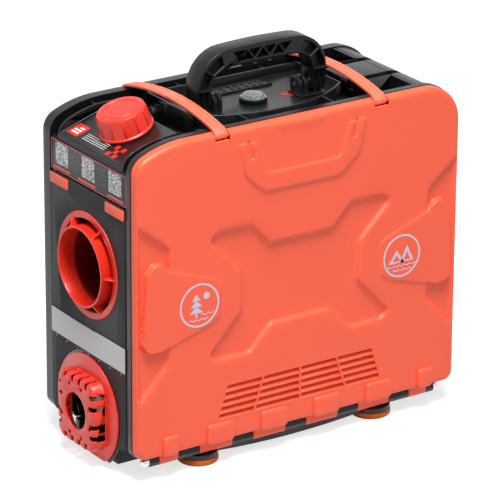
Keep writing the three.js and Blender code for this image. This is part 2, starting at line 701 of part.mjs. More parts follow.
// ---- bottom pan and feet ------------------------------------------------------------------
function panOutline(margin) {
  const half = PAN_HALF_X + margin;
  const points = [new THREE.Vector2(half, SKIN_LOW - GAP), new THREE.Vector2(-half, SKIN_LOW - GAP)];
  for (let k = 0; k <= 16; k += 1) {
    const x = THREE.MathUtils.lerp(-half, half, k / 16);
    points.push(new THREE.Vector2(x, PAN_LOW - margin + x * x / (2 * PAN_ARC)));
  }
  return points;
}

const DRAIN_X = [-150, -120, 30, 60];
const STUB_TOP = SKIN_LOW + 2.5;
const STUBS = { exhaust: { x: -62, r: 11 }, air: { x: -92, r: 9 } };

function pan() {
  const high = SKIN_LOW - GAP;
  const body = prismY(panOutline(0), -PAN_HALF_Y, PAN_HALF_Y);
  const lip = prismY(panOutline(0), -PAN_HALF_Y - PAN_LIP, PAN_HALF_Y + PAN_LIP)
    .intersect(box(-300, 300, -100, 100, 0, PAN_LIP_TOP));
  const tub = box(TUB.left, TUB.right, -TUB.half, TUB.half, TUB.low, high);
  const hollow = prismY(panOutline(-WALL), -PAN_HALF_Y + WALL, PAN_HALF_Y - WALL);
  const tubHollow = box(TUB.left + WALL, TUB.right, -TUB.half + WALL, TUB.half - WALL,
    TUB.low + WALL, high + 1);
  let shell = cut(joined(body, lip, tub), hollow, tubHollow);
  shell = cut(shell, rod(INTAKE.hole, [-230, 0, CORE_Z], [TUB.left + WALL + 1, 0, CORE_Z]));
  const bores = [STUBS.exhaust, STUBS.air].map(({ x, r }) => rod(r + 1, [x, 0, 0], [x, 0, 12]));
  const slots = DRAIN_X.map((x) => box(x - 8, x + 8, -60, -56, 0, 40));
  return cut(shell, ...bores, ...slots);
}

function footBase(x, y) {
  const post = rod(FOOT.base, [x, y, FOOT.padHigh + GAP], [x, y, FOOT.top], 20);
  const clear = prismY(panOutline(GAP), -PAN_HALF_Y - PAN_LIP - GAP, PAN_HALF_Y + PAN_LIP + GAP);
  return cut(post, clear, rod(4, [x, y, 0], [x, y, FOOT.padHigh + 1.3], 16));
}

function footPad(x, y) {
  const profile = [[0, 0], [FOOT.pad - 2.5, 0], [FOOT.pad, 2], [FOOT.pad, FOOT.padHigh - 1],
    [FOOT.pad - 1, FOOT.padHigh], [3.7, FOOT.padHigh], [3.7, FOOT.padHigh + 1], [0, FOOT.padHigh + 1]];
  return turned(profile, [x, y, 0], [0, 0, 1], 20);
}

function feet() {
  for (const [where, y] of [['front', -FOOT.y], ['rear', FOOT.y]]) {
    for (const [side, x] of [['left', -FOOT.x], ['right', FOOT.x]]) {
      add(`foot_base_${where}_${side}`, footBase(x, y), BLACK);
      add(`foot_pad_${where}_${side}`, footPad(x, y), ORANGE);
    }
  }
}

// ---- filler end: panel, plates, duct collar and intake ------------------------------------
function endPanel() {
  const plate = prismX(rounded(rectangle(-PANEL.half, PANEL.half, PANEL.low, PANEL.high, 6)),
    END_FACE - PANEL.thick, END_FACE);
  const ringSeat = rod(INTAKE.ring + GAP, [-230, 0, CORE_Z], [-200, 0, CORE_Z], 28);
  const collarSeat = rod(COLLAR.outer + GAP, [-230, 0, DUCT_Z], [-200, 0, DUCT_Z], 28);
  return cut(plate, ringSeat, collarSeat);
}

function accentTab(side) {
  const middle = side * 56;
  const out = END_FACE - PANEL.thick - GAP;
  return prismX(rounded(rectangle(middle - 18.5, middle + 18.5, 298.5, 310, 1)), out - 1.2, out);
}

function labelPlate() {
  return prismX(rounded(rectangle(-LABEL.half, LABEL.half, LABEL.low, LABEL.high, 2)),
    END_FACE - LABEL.thick, END_FACE);
}

function reflectorStrip() {
  const out = END_FACE - PANEL.thick - GAP;
  return box(out - STRIP.thick, out, -STRIP.half, STRIP.half, STRIP.low, STRIP.high);
}

function ductCollar() {
  const face = END_FACE - COLLAR.thick;
  const rim = END_FACE - COLLAR.out;
  const inner = END_FACE + 9;
  const ring = turned([[COLLAR.inner, 0], [COLLAR.outer, 0], [COLLAR.outer, COLLAR.thick - 1.2],
    [COLLAR.outer - 1.5, COLLAR.thick], [COLLAR.inner, COLLAR.thick]],
    [END_FACE, 0, DUCT_Z], [-1, 0, 0], 28);
  const spigot = cut(
    rod(COLLAR.spigot, [rim, 0, DUCT_Z], [inner, 0, DUCT_Z], 28),
    rod(COLLAR.spigot - COLLAR.wall, [rim - 1, 0, DUCT_Z], [inner + 1, 0, DUCT_Z], 28),
  );
  const webs = [];
  for (let k = 0; k < COLLAR.webs; k += 1) {
    const angle = Math.PI * 2 * (k + 0.5) / COLLAR.webs;
    const web = [
      new THREE.Vector2(face, COLLAR.inner + 4),
      new THREE.Vector2(rim + 2, COLLAR.spigot - 1),
      new THREE.Vector2(inner - 2, COLLAR.spigot - 1),
      new THREE.Vector2(END_FACE, COLLAR.inner - 2),
      new THREE.Vector2(END_FACE, COLLAR.inner + 4),
    ];
    const blade = prismY(web, -0.9, 0.9);
    webs.push(blade.rotate([THREE.MathUtils.radToDeg(angle), 0, 0]).translate([0, 0, DUCT_Z]));
  }
  return joined(ring, spigot, ...webs);
}

function intakeRing() {
  const ring = cut(
    rod(INTAKE.ring, [END_FACE - INTAKE.thick, 0, CORE_Z], [END_FACE, 0, CORE_Z], 28),
    rod(INTAKE.hole, [-230, 0, CORE_Z], [-190, 0, CORE_Z], 28),
  );
  return ring.intersect(box(-300, 0, -100, 100, INTAKE.low, 200));
}

function hoodOutline(half, side) {
  return [
    [-half, CORE_Z - side, HOOD.corner],
    [half, CORE_Z - side, HOOD.corner],
    [half, CORE_Z + side, HOOD.corner],
    [-half, CORE_Z + side, HOOD.corner],
  ];
}

// Half the slots of the hood's walls: slots through the two side walls, then top and bottom.
function hoodSlots(x0, x1) {
  const slots = [];
  for (const dz of [-21, -8, 13, 26]) {
    slots.push(box(x0, x1, -60, 60, CORE_Z + dz - 2.8, CORE_Z + dz + 2.8)
      .subtract(box(x0 - 1, x1 + 1, -HOOD.half + 9, HOOD.half - 9, 0, 200)));
  }
  for (const y of [-21, -7, 7, 21]) {
    slots.push(box(x0, x1, y - 2.8, y + 2.8, -10, 150)
      .subtract(box(x0 - 1, x1 + 1, -60, 60, CORE_Z - HOOD.side + 9, CORE_Z + HOOD.side - 9)));
  }
  return slots;
}

function intakeGrille() {
  const seat = END_FACE - INTAKE.thick - GAP;
  const flangeFace = seat - INTAKE.flangeThick;
  const front = HOOD_FRONT;
  const flange = rod(INTAKE.flange, [flangeFace, 0, CORE_Z], [seat, 0, CORE_Z], 28)
    .intersect(box(-300, 0, -100, 100, INTAKE.low, 200));
  const hood = pillow(hoodOutline(HOOD.half, HOOD.side), seat, front, 4, 2).rotate([0, 0, -90]);
  const inner = prismX(rounded(hoodOutline(HOOD.half - HOOD.wall - 1, HOOD.side - HOOD.wall - 1)),
    front + HOOD.wall, seat + 1);
  let grille = cut(joined(flange, hood), inner);
  grille = cut(grille, ...hoodSlots(front - 1, flangeFace - 1));
  grille = cut(grille, rod(HOOD.eye, [-240, 0, CORE_Z], [-215, 0, CORE_Z], 20));
  for (let k = 0; k < 8; k += 1) {
    const angle = Math.PI * (k + 0.5) / 4;
    const y = HOOD.dots * Math.cos(angle);
    const z = CORE_Z + HOOD.dots * Math.sin(angle);
    grille = cut(grille, rod(2.6, [-240, y, z], [-220, y, z], 8));
  }
  return grille;
}

// ---- heater core --------------------------------------------------------------------------
const FAN = { left: -199, hub: 13, hubLong: 16, blades: 7, reach: 43.5, shaft: 4 };
const MOTOR = { left: -175, right: -128, r: 23 };
const BLOWER = { left: -122, right: -112, r: 27, blades: 10 };
const CHAMBER = { left: -100, right: -30, r: 20, wall: 2 };
const HOSE = { r: 5, bore: 3.9, nipple: 3 };
const INLET = { x: -108, z: 69 };
const EXCHANGER = { left: -102, right: 34, r: 30, wall: 2.5, fin: 42, fins: 10 };

function jacket() {
  const tube = cut(
    rod(CORE_R, [CORE_LEFT, 0, CORE_Z], [CORE_RIGHT, 0, CORE_Z], 24),
    rod(CORE_R - WALL, [CORE_LEFT - 1, 0, CORE_Z], [CORE_RIGHT - WALL, 0, CORE_Z], 24),
    rod(DUCT_R - 4, [CORE_RIGHT - WALL - 1, 0, CORE_Z], [CORE_RIGHT + 1, 0, CORE_Z], 24),
  );
  const holes = [STUBS.exhaust, STUBS.air].map(({ x, r }) => rod(r + GAP, [x, 0, 0], [x, 0, 30]));
  const lead = joined(rod(6, [-80, 0, 100], [-80, 0, 115], 16),
    rod(HOSE.r + 1.5, [INLET.x, 30, INLET.z], [INLET.x, 60, INLET.z], 12));
  const strutX = (MOTOR.left + MOTOR.right) / 2;
  const strut = box(strutX - 8, strutX + 8, -1.5, 1.5, MOTOR.r + GAP, CORE_R - 2);
  const struts = [0, 120, 240].map((turn) => strut
    .rotate([turn, 0, 0]).translate([0, 0, CORE_Z]));
  return joined(cut(tube, ...holes, lead), ...struts);
}

function bladeRing(x0, x1, inner, outer, count, pitch, thick) {
  const blades = [];
  for (let k = 0; k < count; k += 1) {
    const blade = box(-(x1 - x0) / 2 + 1, (x1 - x0) / 2 - 1, -thick / 2, thick / 2, inner, outer);
    blades.push(blade.rotate([0, 0, pitch]).rotate([360 * k / count, 0, 0])
      .translate([(x0 + x1) / 2, 0, CORE_Z]));
  }
  return blades;
}

function impeller() {
  const right = FAN.left + FAN.hubLong;
  const hub = turned([[FAN.shaft + GAP, 0], [FAN.hub, 0], [FAN.hub, FAN.hubLong - 4],
    [FAN.hub - 4, FAN.hubLong],
    [FAN.shaft + GAP, FAN.hubLong]], [right, 0, CORE_Z], [-1, 0, 0], 24);
  return joined(hub, ...bladeRing(FAN.left, right, FAN.hub - 2, FAN.reach, FAN.blades, 30, 2.2));
}

function fanMotor() {
  return cut(
    turned([[0, 0], [MOTOR.r - 2, 0], [MOTOR.r, 2], [MOTOR.r, 45], [MOTOR.r - 2, 47], [0, 47]],
      [MOTOR.left, 0, CORE_Z], [1, 0, 0], 20),
    rod(FAN.shaft + RUN, [-300, 0, CORE_Z], [0, 0, CORE_Z], 20),
  );
}

function burnerFan() {
  const disc = rod(BLOWER.r, [BLOWER.left, 0, CORE_Z], [BLOWER.left + 2, 0, CORE_Z], 20);
  const hub = rod(8, [BLOWER.left, 0, CORE_Z], [BLOWER.right, 0, CORE_Z], 20);
  const vanes = bladeRing(BLOWER.left, BLOWER.right + 1, 12, BLOWER.r - 1, BLOWER.blades, 0, 1.6);
  return cut(joined(disc, hub, ...vanes), rod(FAN.shaft + GAP, [-300, 0, CORE_Z], [0, 0, CORE_Z], 20));
}

function exchanger() {
  const tube = cut(
    rod(EXCHANGER.r, [EXCHANGER.left, 0, CORE_Z], [EXCHANGER.right, 0, CORE_Z], 20),
    rod(EXCHANGER.r - EXCHANGER.wall, [EXCHANGER.left - 1, 0, CORE_Z],
      [EXCHANGER.right - EXCHANGER.wall, 0, CORE_Z], 20),
  );
  const fins = [];
  for (let k = 0; k < EXCHANGER.fins; k += 1) {
    fins.push(box(EXCHANGER.left + 6, EXCHANGER.right, -1, 1, EXCHANGER.r - 1, EXCHANGER.fin)
      .rotate([360 * (k + 0.5) / EXCHANGER.fins, 0, 0]).translate([0, 0, CORE_Z]));
  }
  const ports = [STUBS.exhaust, STUBS.air].map(({ x, r }) => rod(r + GAP, [x, 0, 0], [x, 0, CORE_Z - 20]));
  const plugPort = rod(5, [-80, 0, CORE_Z + 20], [-80, 0, CORE_Z + 50], 16);
  return cut(joined(tube, ...fins), ...ports, plugPort);
}

function burnerChamber() {
  const tube = cut(
    rod(CHAMBER.r, [CHAMBER.left, 0, CORE_Z], [CHAMBER.right, 0, CORE_Z], 20),
    rod(CHAMBER.r - CHAMBER.wall, [CHAMBER.left + 3, 0, CORE_Z], [CHAMBER.right + 1, 0, CORE_Z], 20),
  );
  const seat = cut(
    rod(27.2, [CHAMBER.left, 0, CORE_Z], [CHAMBER.left + 2.5, 0, CORE_Z], 20),
    rod(CHAMBER.r - 1, [CHAMBER.left - 1, 0, CORE_Z], [CHAMBER.left + 4, 0, CORE_Z], 20),
  );
  const plug = rod(4.3, [-80, 0, CORE_Z + 10], [-80, 0, CORE_Z + 40], 16);
  const block = box(INLET.x - 3.5, CHAMBER.left + 1, -4, 22, INLET.z - 4, INLET.z + 4);
  const nipple = rod(HOSE.nipple, [INLET.x, 20, INLET.z], [INLET.x, 40, INLET.z], 12);
  const inlet = joined(
    rod(1.5, [INLET.x, 0, INLET.z], [INLET.x, 41, INLET.z], 8),
    rod(1.5, [INLET.x, 0, INLET.z], [CHAMBER.left + 5, 0, INLET.z], 8),
  );
  return cut(joined(tube, seat, block, nipple), plug, inlet);
}

function glowPlug() {
  const profile = [[0, 0], [2, 0], [2, 12], [4, 13], [4, 26], [4.6, 27.5], [4.6, 34], [1.5, 34], [1.5, 44],
    [0, 44]];
  return turned(profile, [-80, 0, CORE_Z + 8], [0, 0, 1], 10);
}

function stub({ x, r }, top) {
  const low = TUB.low - 2;
  return cut(rod(r, [x, 0, low], [x, 0, top], 14), rod(r - 1.5, [x, 0, low - 1], [x, 0, top + 1], 14));
}

// The warm air duct turns up behind the core and comes back to the collar above it.
function airDuct() {
  const rise = (DUCT_Z - CORE_Z) / 2;
  const bend = CORE_RIGHT + 8;
  const centre = CORE_Z + rise;
  const path = new THREE.CurvePath();
  class Turn extends THREE.Curve {
    getPoint(t, target = new THREE.Vector3()) {
      const angle = -Math.PI / 2 + Math.PI * t;
      return target.set(bend + rise * Math.cos(angle), 0, centre + rise * Math.sin(angle));
    }
  }
  path.add(new THREE.LineCurve3(
    new THREE.Vector3(CORE_RIGHT + GAP, 0, CORE_Z), new THREE.Vector3(bend, 0, CORE_Z)));
  path.add(new Turn());
  path.add(new THREE.LineCurve3(
    new THREE.Vector3(bend, 0, DUCT_Z), new THREE.Vector3(DUCT_LEFT, 0, DUCT_Z)));
  return sweep(path, DUCT_R, DUCT_R - DUCT_WALL, 14, 16);
}

// ---- tank, fuel path and controls ---------------------------------------------------------
const OUTLET = { x: -60, y: TANK.half - 20 };
const FILTER = { r: 10, low: 208, high: 246, tip: 5 };
const UNIT = { left: -182, right: -100, half: 34, high: 28 };
const PUMP = { left: -172, right: -112, r: 13, tip: 5 };
const UNIT_LOW = CORE_Z + CORE_R + GAP;
const PUMP_Z = UNIT_LOW + UNIT.high + GAP + PUMP.r;

function tank() {
  const outline = (d) => rounded(rectangle(TANK.left + d, TANK.right - d,
    TANK.low + d, TANK.top - d, 14 - d));
  const outer = prismY(outline(0), -TANK.half, TANK.half);
  const inner = prismY(outline(TANK.wall), -TANK.half + TANK.wall, TANK.half - TANK.wall);
  const nipple = rod(HOSE.nipple, [OUTLET.x, OUTLET.y, TANK.low - 12],
    [OUTLET.x, OUTLET.y, TANK.low + 1], 16);
  const drain = rod(1.6, [OUTLET.x, OUTLET.y, TANK.low - 13], [OUTLET.x, OUTLET.y, TANK.low + 4], 12);
  const shell = joined(outer, filler(CAP.neck, -40, CAP.neckTop), nipple);
  return cut(shell, inner, filler(CAP.bore, -45, CAP.neckTop + 1), drain);
}

function fuelCap() {
  const away = [-Math.sin(DECK_TILT), 0, Math.cos(DECK_TILT)];
  const profile = [[CAP.neck + 0.6, 0.6], [CAP.flange, 0.6], [CAP.flange, 2.8], [CAP.skirt + 0.4, 4],
    [CAP.skirt, 5], [CAP.crown + 0.8, CAP.high - 2], [CAP.crown - 1, CAP.high], [20, CAP.high],
    [19.6, CAP.high - 0.7], [18.4, CAP.high - 0.7], [18, CAP.high], [0, CAP.high],
    [0, CAP.neckTop + 2.6], [CAP.neck + 0.6, CAP.neckTop + 2.6]];
  let cap = turned(profile, [DECK_POINT[0], 0, DECK_POINT[1]], away, 20);
  for (let k = 0; k < 12; k += 1) {
    const grip = box(CAP.crown - 1.5, CAP.skirt + 1, -1.6, 1.6, 4, CAP.high - 3);
    cap = joined(cap, grip.rotate([0, 0, 30 * k]).rotate([0, -THREE.MathUtils.radToDeg(DECK_TILT), 0])
      .translate([DECK_POINT[0], 0, DECK_POINT[1]]));
  }
  return cap;
}

function capSeal() {
  const low = CAP.neckTop + GAP;
  return cut(filler(CAP.neck - 0.4, low, low + 2), filler(16, low - 1, low + 3));
}

function breather() {
  const profile = [[0, 0], [4.2, 0], [4.2, 5], [6, 5], [6, 6.6], [2.2, 6.6], [2.2, 3], [0, 3]];
  return turned(profile, [BREATHER.x - 0.6, BREATHER.y, BREATHER.z], [-1, 0, 0], 14);
}

function fuelFilter() {
  const { r, low, high, tip } = FILTER;
  const n = HOSE.nipple;
  const profile = [[1.5, low - tip], [n, low - tip], [n, low], [r - 2, low + 1], [r, low + 4], [r, high - 4],
    [r - 2, high - 1], [n, high], [n, high + tip], [1.5, high + tip], [1.5, high - 2], [r - 3, high - 5],
    [r - 3, low + 5], [1.5, low + 2]];
  return turned(profile, [OUTLET.x, OUTLET.y, 0], [0, 0, 1], 12);
}

function tankHose() {
  const low = FILTER.high + GAP;
  const high = TANK.low - GAP;
  return cut(rod(HOSE.r, [OUTLET.x, OUTLET.y, low], [OUTLET.x, OUTLET.y, high], 16),
    rod(HOSE.bore, [OUTLET.x, OUTLET.y, low - 1], [OUTLET.x, OUTLET.y, high + 1], 16));
}

function pumpHose() {
  const z = PUMP_Z;
  return pipe([[OUTLET.x, OUTLET.y, FILTER.low - GAP], [OUTLET.x, OUTLET.y, FILTER.low - 20],
    [OUTLET.x - 2, OUTLET.y - 16, z + 16], [OUTLET.x - 8, 22, z + 2], [PUMP.right + 26, 4, z],
    [PUMP.right + 10, 0, z], [PUMP.right + GAP, 0, z]], HOSE.r, HOSE.bore, 6, 14);
}

function burnerHose() {
  const { x, z } = INLET;
  return pipe([[PUMP.left - GAP, 0, PUMP_Z], [PUMP.left - 14, 0, PUMP_Z], [PUMP.left - 24, 14, PUMP_Z - 5],
    [PUMP.left - 20, 44, PUMP_Z - 22], [PUMP.left - 2, 62, PUMP_Z - 46], [x - 26, 66, z + 14],
    [x - 6, 64, z + 3], [x, 54, z], [x, 42, z], [x, 29, z]], HOSE.r, HOSE.bore, 6, 18);
}

function fuelPump() {
  const body = turned([[0, 0], [PUMP.r - 2, 0], [PUMP.r, 2], [PUMP.r, 58], [PUMP.r - 2, 60], [0, 60]],
    [PUMP.left, 0, PUMP_Z], [1, 0, 0], 20);
  const nipples = rod(HOSE.nipple, [PUMP.left - PUMP.tip, 0, PUMP_Z],
    [PUMP.right + PUMP.tip, 0, PUMP_Z], 16);
  return joined(body, nipples);
}

function controlUnit() {
  const outline = rounded(rectangle(UNIT.left, UNIT.right, -UNIT.half, UNIT.half, 5));
  const slab = prismZ(outline, UNIT_LOW, UNIT_LOW + UNIT.high);
  const socket = box(UNIT.right - 8, UNIT.right + 1, -24, 24, UNIT_LOW + 6, UNIT_LOW + 20);
  return cut(slab, socket);
}

// ---- carrying handle ----------------------------------------------------------------------
// Fins as spans measured inwards from the outer side of the handle's leg.
const LEG_FINS = spansFrom(HANDLE.half, [[18, 14], [11, 7], [4, 0]]);
const BRACKET_FINS = spansFrom(HANDLE.half, [[34, 30], [27, 23], [13.6, 11.4], [6.6, 4.4]]);
const LEG_ROUND = 11;
const BRACKET_ROUND = 9;
const LEG_FOOT = HANDLE_TOP - HANDLE.corner - archFall() - 1;
const HANDLE_PIN = 3;

function spansFrom(outer, spans) {
  return spans.map(([far, near]) => [outer - far, outer - near]);
}

// Outline in Y and Z of a lug: round about the handle's axis, straight up or down to z.
function lug(radius, z) {
  const up = z > HANDLE.z;
  const points = [];
  for (let k = 0; k <= 6; k += 1) {
    const angle = (up ? Math.PI : 0) + Math.PI * k / 6;
    points.push(new THREE.Vector2(HANDLE.y + radius * Math.cos(angle), HANDLE.z + radius * Math.sin(angle)));
  }
  const side = up ? 1 : -1;
  points.push(new THREE.Vector2(HANDLE.y + side * radius, z));
  points.push(new THREE.Vector2(HANDLE.y - side * radius, z));
  return points;
}

// The grip's top is a shallow arch: its shoulders lie this far below its middle.
function archFall() {
  return HANDLE.half ** 2 / (4 * HANDLE.arch);
}

function handlePockets() {
  const skin = 3.2;
  const high = HANDLE_TOP - skin - 1.5;
  const low = HANDLE_TOP - HANDLE.bar + 2;
  const nodes = [];
  for (let k = -4; k <= 4; k += 1) {
    nodes.push([k * 10, k % 2 === 0 ? high : low]);
  }
  const cells = [];
  for (let k = 0; k + 2 < nodes.length; k += 1) {
    const [a, b, c] = [nodes[k], nodes[k + 1], nodes[k + 2]];
    cells.push(inset(b[1] > a[1] ? [a, c, b] : [a, b, c], 1.1));
  }
  const bend = HANDLE.half - HANDLE.corner;
  const corner = (a0, a1) => {
    const centre = HANDLE_TOP - HANDLE.corner - archFall();
    const at = (r, a) => [bend + r * Math.cos(a), centre + r * Math.sin(a)];
    return [at(HANDLE.corner - HANDLE.leg + skin, a0), at(HANDLE.corner - skin, a0),
      at(HANDLE.corner - skin, (a0 + a1) / 2), at(HANDLE.corner - skin, a1),
      at(HANDLE.corner - HANDLE.leg + skin, a1)];
  };
  for (const cell of [corner(0.05, 0.62), corner(0.7, 1.3)]) {
    cells.push(cell, mirrorOutline(cell));
  }
  return cells;
}

function handle() {
  const { half, leg, bar, corner, thick, y, arch } = HANDLE;
  const top = HANDLE_TOP;
  const under = top - bar;
  const shoulder = top - archFall();
  const crown = top + arch / Math.cos(Math.atan2(archFall(), half)) - arch;
  const outline = [[-half, LEG_FOOT, 0], [-half + leg, LEG_FOOT, 0], [-half + leg, under - 2, corner - leg]];
  for (let k = -3; k <= 3; k += 1) {
    outline.push([k * 9.5, k % 2 === 0 ? under - 7 : under - 1, 3]);
  }
  outline.push([half - leg, under - 2, corner - leg], [half - leg, LEG_FOOT, 0], [half, LEG_FOOT, 0],
    [half, shoulder, corner], [0, crown, arch], [-half, shoulder, corner]);
  let grip = prismY(rounded(outline), y - thick / 2, y + thick / 2);
  const web = 3;
  for (const cell of handlePockets()) {
    const points = rounded(cell);
    grip = cut(grip, prismY(points, y - thick, y - web), prismY(points, y + web, y + thick));
  }
  const fins = LEG_FINS.flatMap(([x0, x1]) => [
    prismX(lug(LEG_ROUND, LEG_FOOT + 1).reverse(), x0, x1),
    prismX(lug(LEG_ROUND, LEG_FOOT + 1).reverse(), -x1, -x0),
  ]);
  const bore = rod(HANDLE_PIN + RUN, [-half - 16, y, HANDLE.z], [half + 16, y, HANDLE.z], 12);
  return cut(joined(grip, ...fins), bore);
}

function handleBracket() {
  const low = TRAY_FLOOR + GAP;
  const base = box(HANDLE.half - 34.5, HANDLE.half, HANDLE.y - 13, HANDLE.y + 13, low, low + 2);
  const fins = BRACKET_FINS.map(([x0, x1]) => prismX(lug(BRACKET_ROUND, low + 1), x0, x1));
  return cut(joined(base, ...fins), rod(HANDLE_PIN + RUN,
    [HANDLE.half - 44, HANDLE.y, HANDLE.z], [HANDLE.half + 16, HANDLE.y, HANDLE.z], 12));
}

// ---- tray fittings ------------------------------------------------------------------------
const SHELF = { left: -34, right: 50, front: 36, rear: 55, thick: 3, pitch: 9.5 };

function shelfLattice() {
  const low = TRAY_FLOOR - 0.5;
  const holes = [];
  for (let row = 0; row < 2; row += 1) {
    for (let x = SHELF.left + 6; x < SHELF.right - 4; x += SHELF.pitch) {
      const y = SHELF.front + 5.5 + row * 8;
      holes.push(box(-2.2, 2.2, -2.2, 2.2, TRAY_FLOOR, low + 5).rotate([0, 0, 45]).translate([x, y, 0]));
    }
  }
  return cut(box(SHELF.left, SHELF.right, SHELF.front, SHELF.rear, low, low + SHELF.thick), ...holes);
}

function compass() {
  const at = [COMPASS.x, COMPASS.y, TRAY_FLOOR + GAP];
  const { r, wall, high, dome } = COMPASS;
  const housing = [[0, 0], [r, 0], [r, high], [r - wall, high], [r - wall, 1.5], [0, 1.5]];
  const card = [[0, 1.8], [r - wall - 0.4, 1.8], [r - wall - 0.4, 2.8], [0, 2.8]];
  const seat = high + GAP;
  const glass = [[r - wall, seat], [r - 0.3, seat], [r * 0.75, seat + 3], [0, seat + dome],
    [0, seat + dome - 1.2], [r * 0.7, seat + 1.8]];
  add('compass_housing', turned(housing, at, [0, 0, 1], 20), SATIN_BLACK);
  add('compass_card', turned(card, at, [0, 0, 1], 20), GREEN);
  add('compass_dome', turned(glass, at, [0, 0, 1], 20), GLASS);
}

// ---- the whole heater ---------------------------------------------------------------------
const body = caseBody();
add('main_frame', cut(body, deckRoom(GAP)), BLACK);
add('top_deck', joined(body.intersect(deckRoom(0)), shelfLattice()), BLACK);
add('bottom_pan', pan(), BLACK);
feet();
const frontCover = geometryOf(cover());
add('front_cover', frontCover, RED);
add('rear_cover', mirroredY(frontCover), BLACK);
hinges();
straps();
add('end_panel', endPanel(), CHARCOAL);
add('accent_tab_front', accentTab(-1), RED);
add('accent_tab_rear', accentTab(1), RED);
add('label_plate', labelPlate(), SATIN_BLACK);
add('reflector_strip', reflectorStrip(), SILVER);
add('duct_collar', ductCollar(), DEEP_RED);
add('intake_ring', intakeRing(), BLACK);
add('intake_grille', intakeGrille(), RED);
add('heater_jacket', jacket(), BLACK);
add('fan_impeller', impeller(), SILVER);
add('fan_motor', fanMotor(), STEEL);
add('fan_shaft', rod(FAN.shaft, [FAN.left, 0, CORE_Z], [BLOWER.right, 0, CORE_Z], 20), STEEL);
add('burner_fan', burnerFan(), ALUMINIUM);
add('heat_exchanger', exchanger(), ALUMINIUM);
add('burner_chamber', burnerChamber(), STEEL);
add('glow_plug', glowPlug(), STEEL);
add('exhaust_pipe', stub(STUBS.exhaust, STUB_TOP), STEEL);
add('combustion_air_pipe', stub(STUBS.air, STUB_TOP), RUBBER);
add('air_duct', airDuct(), DEEP_RED);
add('fuel_tank', tank(), TANK_WHITE);
add('fuel_cap', fuelCap(), RED);
add('cap_seal', capSeal(), RUBBER);
add('tank_breather', breather(), CHROME);
add('fuel_filter', fuelFilter(), GLASS);
add('tank_hose', tankHose(), RUBBER);
add('pump_hose', pumpHose(), RUBBER);
add('burner_hose', burnerHose(), RUBBER);
add('fuel_pump', fuelPump(), STEEL);
add('control_unit', controlUnit(), CHARCOAL);
add('carry_handle', handle(), SATIN_BLACK);
const bracket = handleBracket();
add('handle_bracket_right', bracket, SATIN_BLACK);
add('handle_bracket_left', bracket.mirror([1, 0, 0]), SATIN_BLACK);
for (const [name, side] of [['left', -1], ['right', 1]]) {
  add(`handle_pin_${name}`, rod(HANDLE_PIN, [side * (HANDLE.half - 35), HANDLE.y, HANDLE.z],
    [side * (HANDLE.half + 1), HANDLE.y, HANDLE.z]), STEEL);
}
compass();

export default heater;
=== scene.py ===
"""Dressed model of the suitcase diesel heater. Metres, +X along the long side, +Y back, +Z up."""

import math

import bmesh
import bpy
import numpy as np
from mathutils import Matrix, Vector
from mathutils import geometry as mgeo


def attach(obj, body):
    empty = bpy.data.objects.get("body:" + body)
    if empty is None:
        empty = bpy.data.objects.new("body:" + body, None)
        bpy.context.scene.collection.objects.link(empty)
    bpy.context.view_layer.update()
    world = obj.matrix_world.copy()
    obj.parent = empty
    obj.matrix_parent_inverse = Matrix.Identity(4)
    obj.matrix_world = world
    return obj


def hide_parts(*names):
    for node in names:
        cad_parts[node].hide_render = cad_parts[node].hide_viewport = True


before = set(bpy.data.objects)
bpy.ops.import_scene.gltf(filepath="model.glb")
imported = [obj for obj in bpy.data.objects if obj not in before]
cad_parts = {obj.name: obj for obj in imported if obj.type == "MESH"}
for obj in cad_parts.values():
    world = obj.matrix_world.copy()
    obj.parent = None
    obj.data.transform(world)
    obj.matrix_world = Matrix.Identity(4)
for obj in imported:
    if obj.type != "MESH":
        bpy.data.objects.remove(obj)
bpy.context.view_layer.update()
scene = bpy.context.scene
MM = 0.001
SHIFT_X = 9.4            # the part's origin lies this far, in mm, left of the covers' middle


# ---- camera -------------------------------------------------------------------------------
VIEW_ANGLES = (-34.069, 21.331, 0.397)          # azimuth, elevation and roll, in degrees
CAMERA_PLACE = (-2.1001, -3.1158, 1.6668)
LENS = 263.8
SENSOR = 36


def make_camera():
    """The camera that took the photograph, as fitted to the covers' corners."""
    azimuth, elevation, roll = (math.radians(v) for v in VIEW_ANGLES)
    back = Vector((math.sin(azimuth) * math.cos(elevation),
                   -math.cos(azimuth) * math.cos(elevation), math.sin(elevation)))
    right = (-back).cross(Vector((0, 0, 1))).normalized()
    up = right.cross(-back)
    across = math.cos(roll) * right + math.sin(roll) * up
    above = -math.sin(roll) * right + math.cos(roll) * up
    data = bpy.data.cameras.new("photo_camera")
    data.sensor_width = SENSOR
    data.lens = LENS
    data.clip_end = 50
    camera = bpy.data.objects.new("photo_camera", data)
    scene.collection.objects.link(camera)
    turn = Matrix((across, above, back)).transposed().to_4x4()
    camera.matrix_world = Matrix.Translation(CAMERA_PLACE) @ turn
    scene.camera = camera


# ---- materials ----------------------------------------------------------------------------
CLOUD_SCALE = 14         # of the slow colour change
GRAIN_HEIGHT = 0.0004


def srgb(code):
    """Linear colour of a hex code."""
    values = [int(code[i:i + 2], 16) / 255 for i in (1, 3, 5)]
    return [v / 12.92 if v <= 0.04045 else ((v + 0.055) / 1.055) ** 2.4 for v in values] + [1]


def ramp(tree, factor, low, high):
    """Number socket going from low to high as the factor goes from 0 to 1."""
    mix = tree.nodes.new("ShaderNodeMapRange")
    mix.inputs["To Min"].default_value = low
    mix.inputs["To Max"].default_value = high
    tree.links.new(factor, mix.inputs["Value"])
    return mix.outputs["Result"]


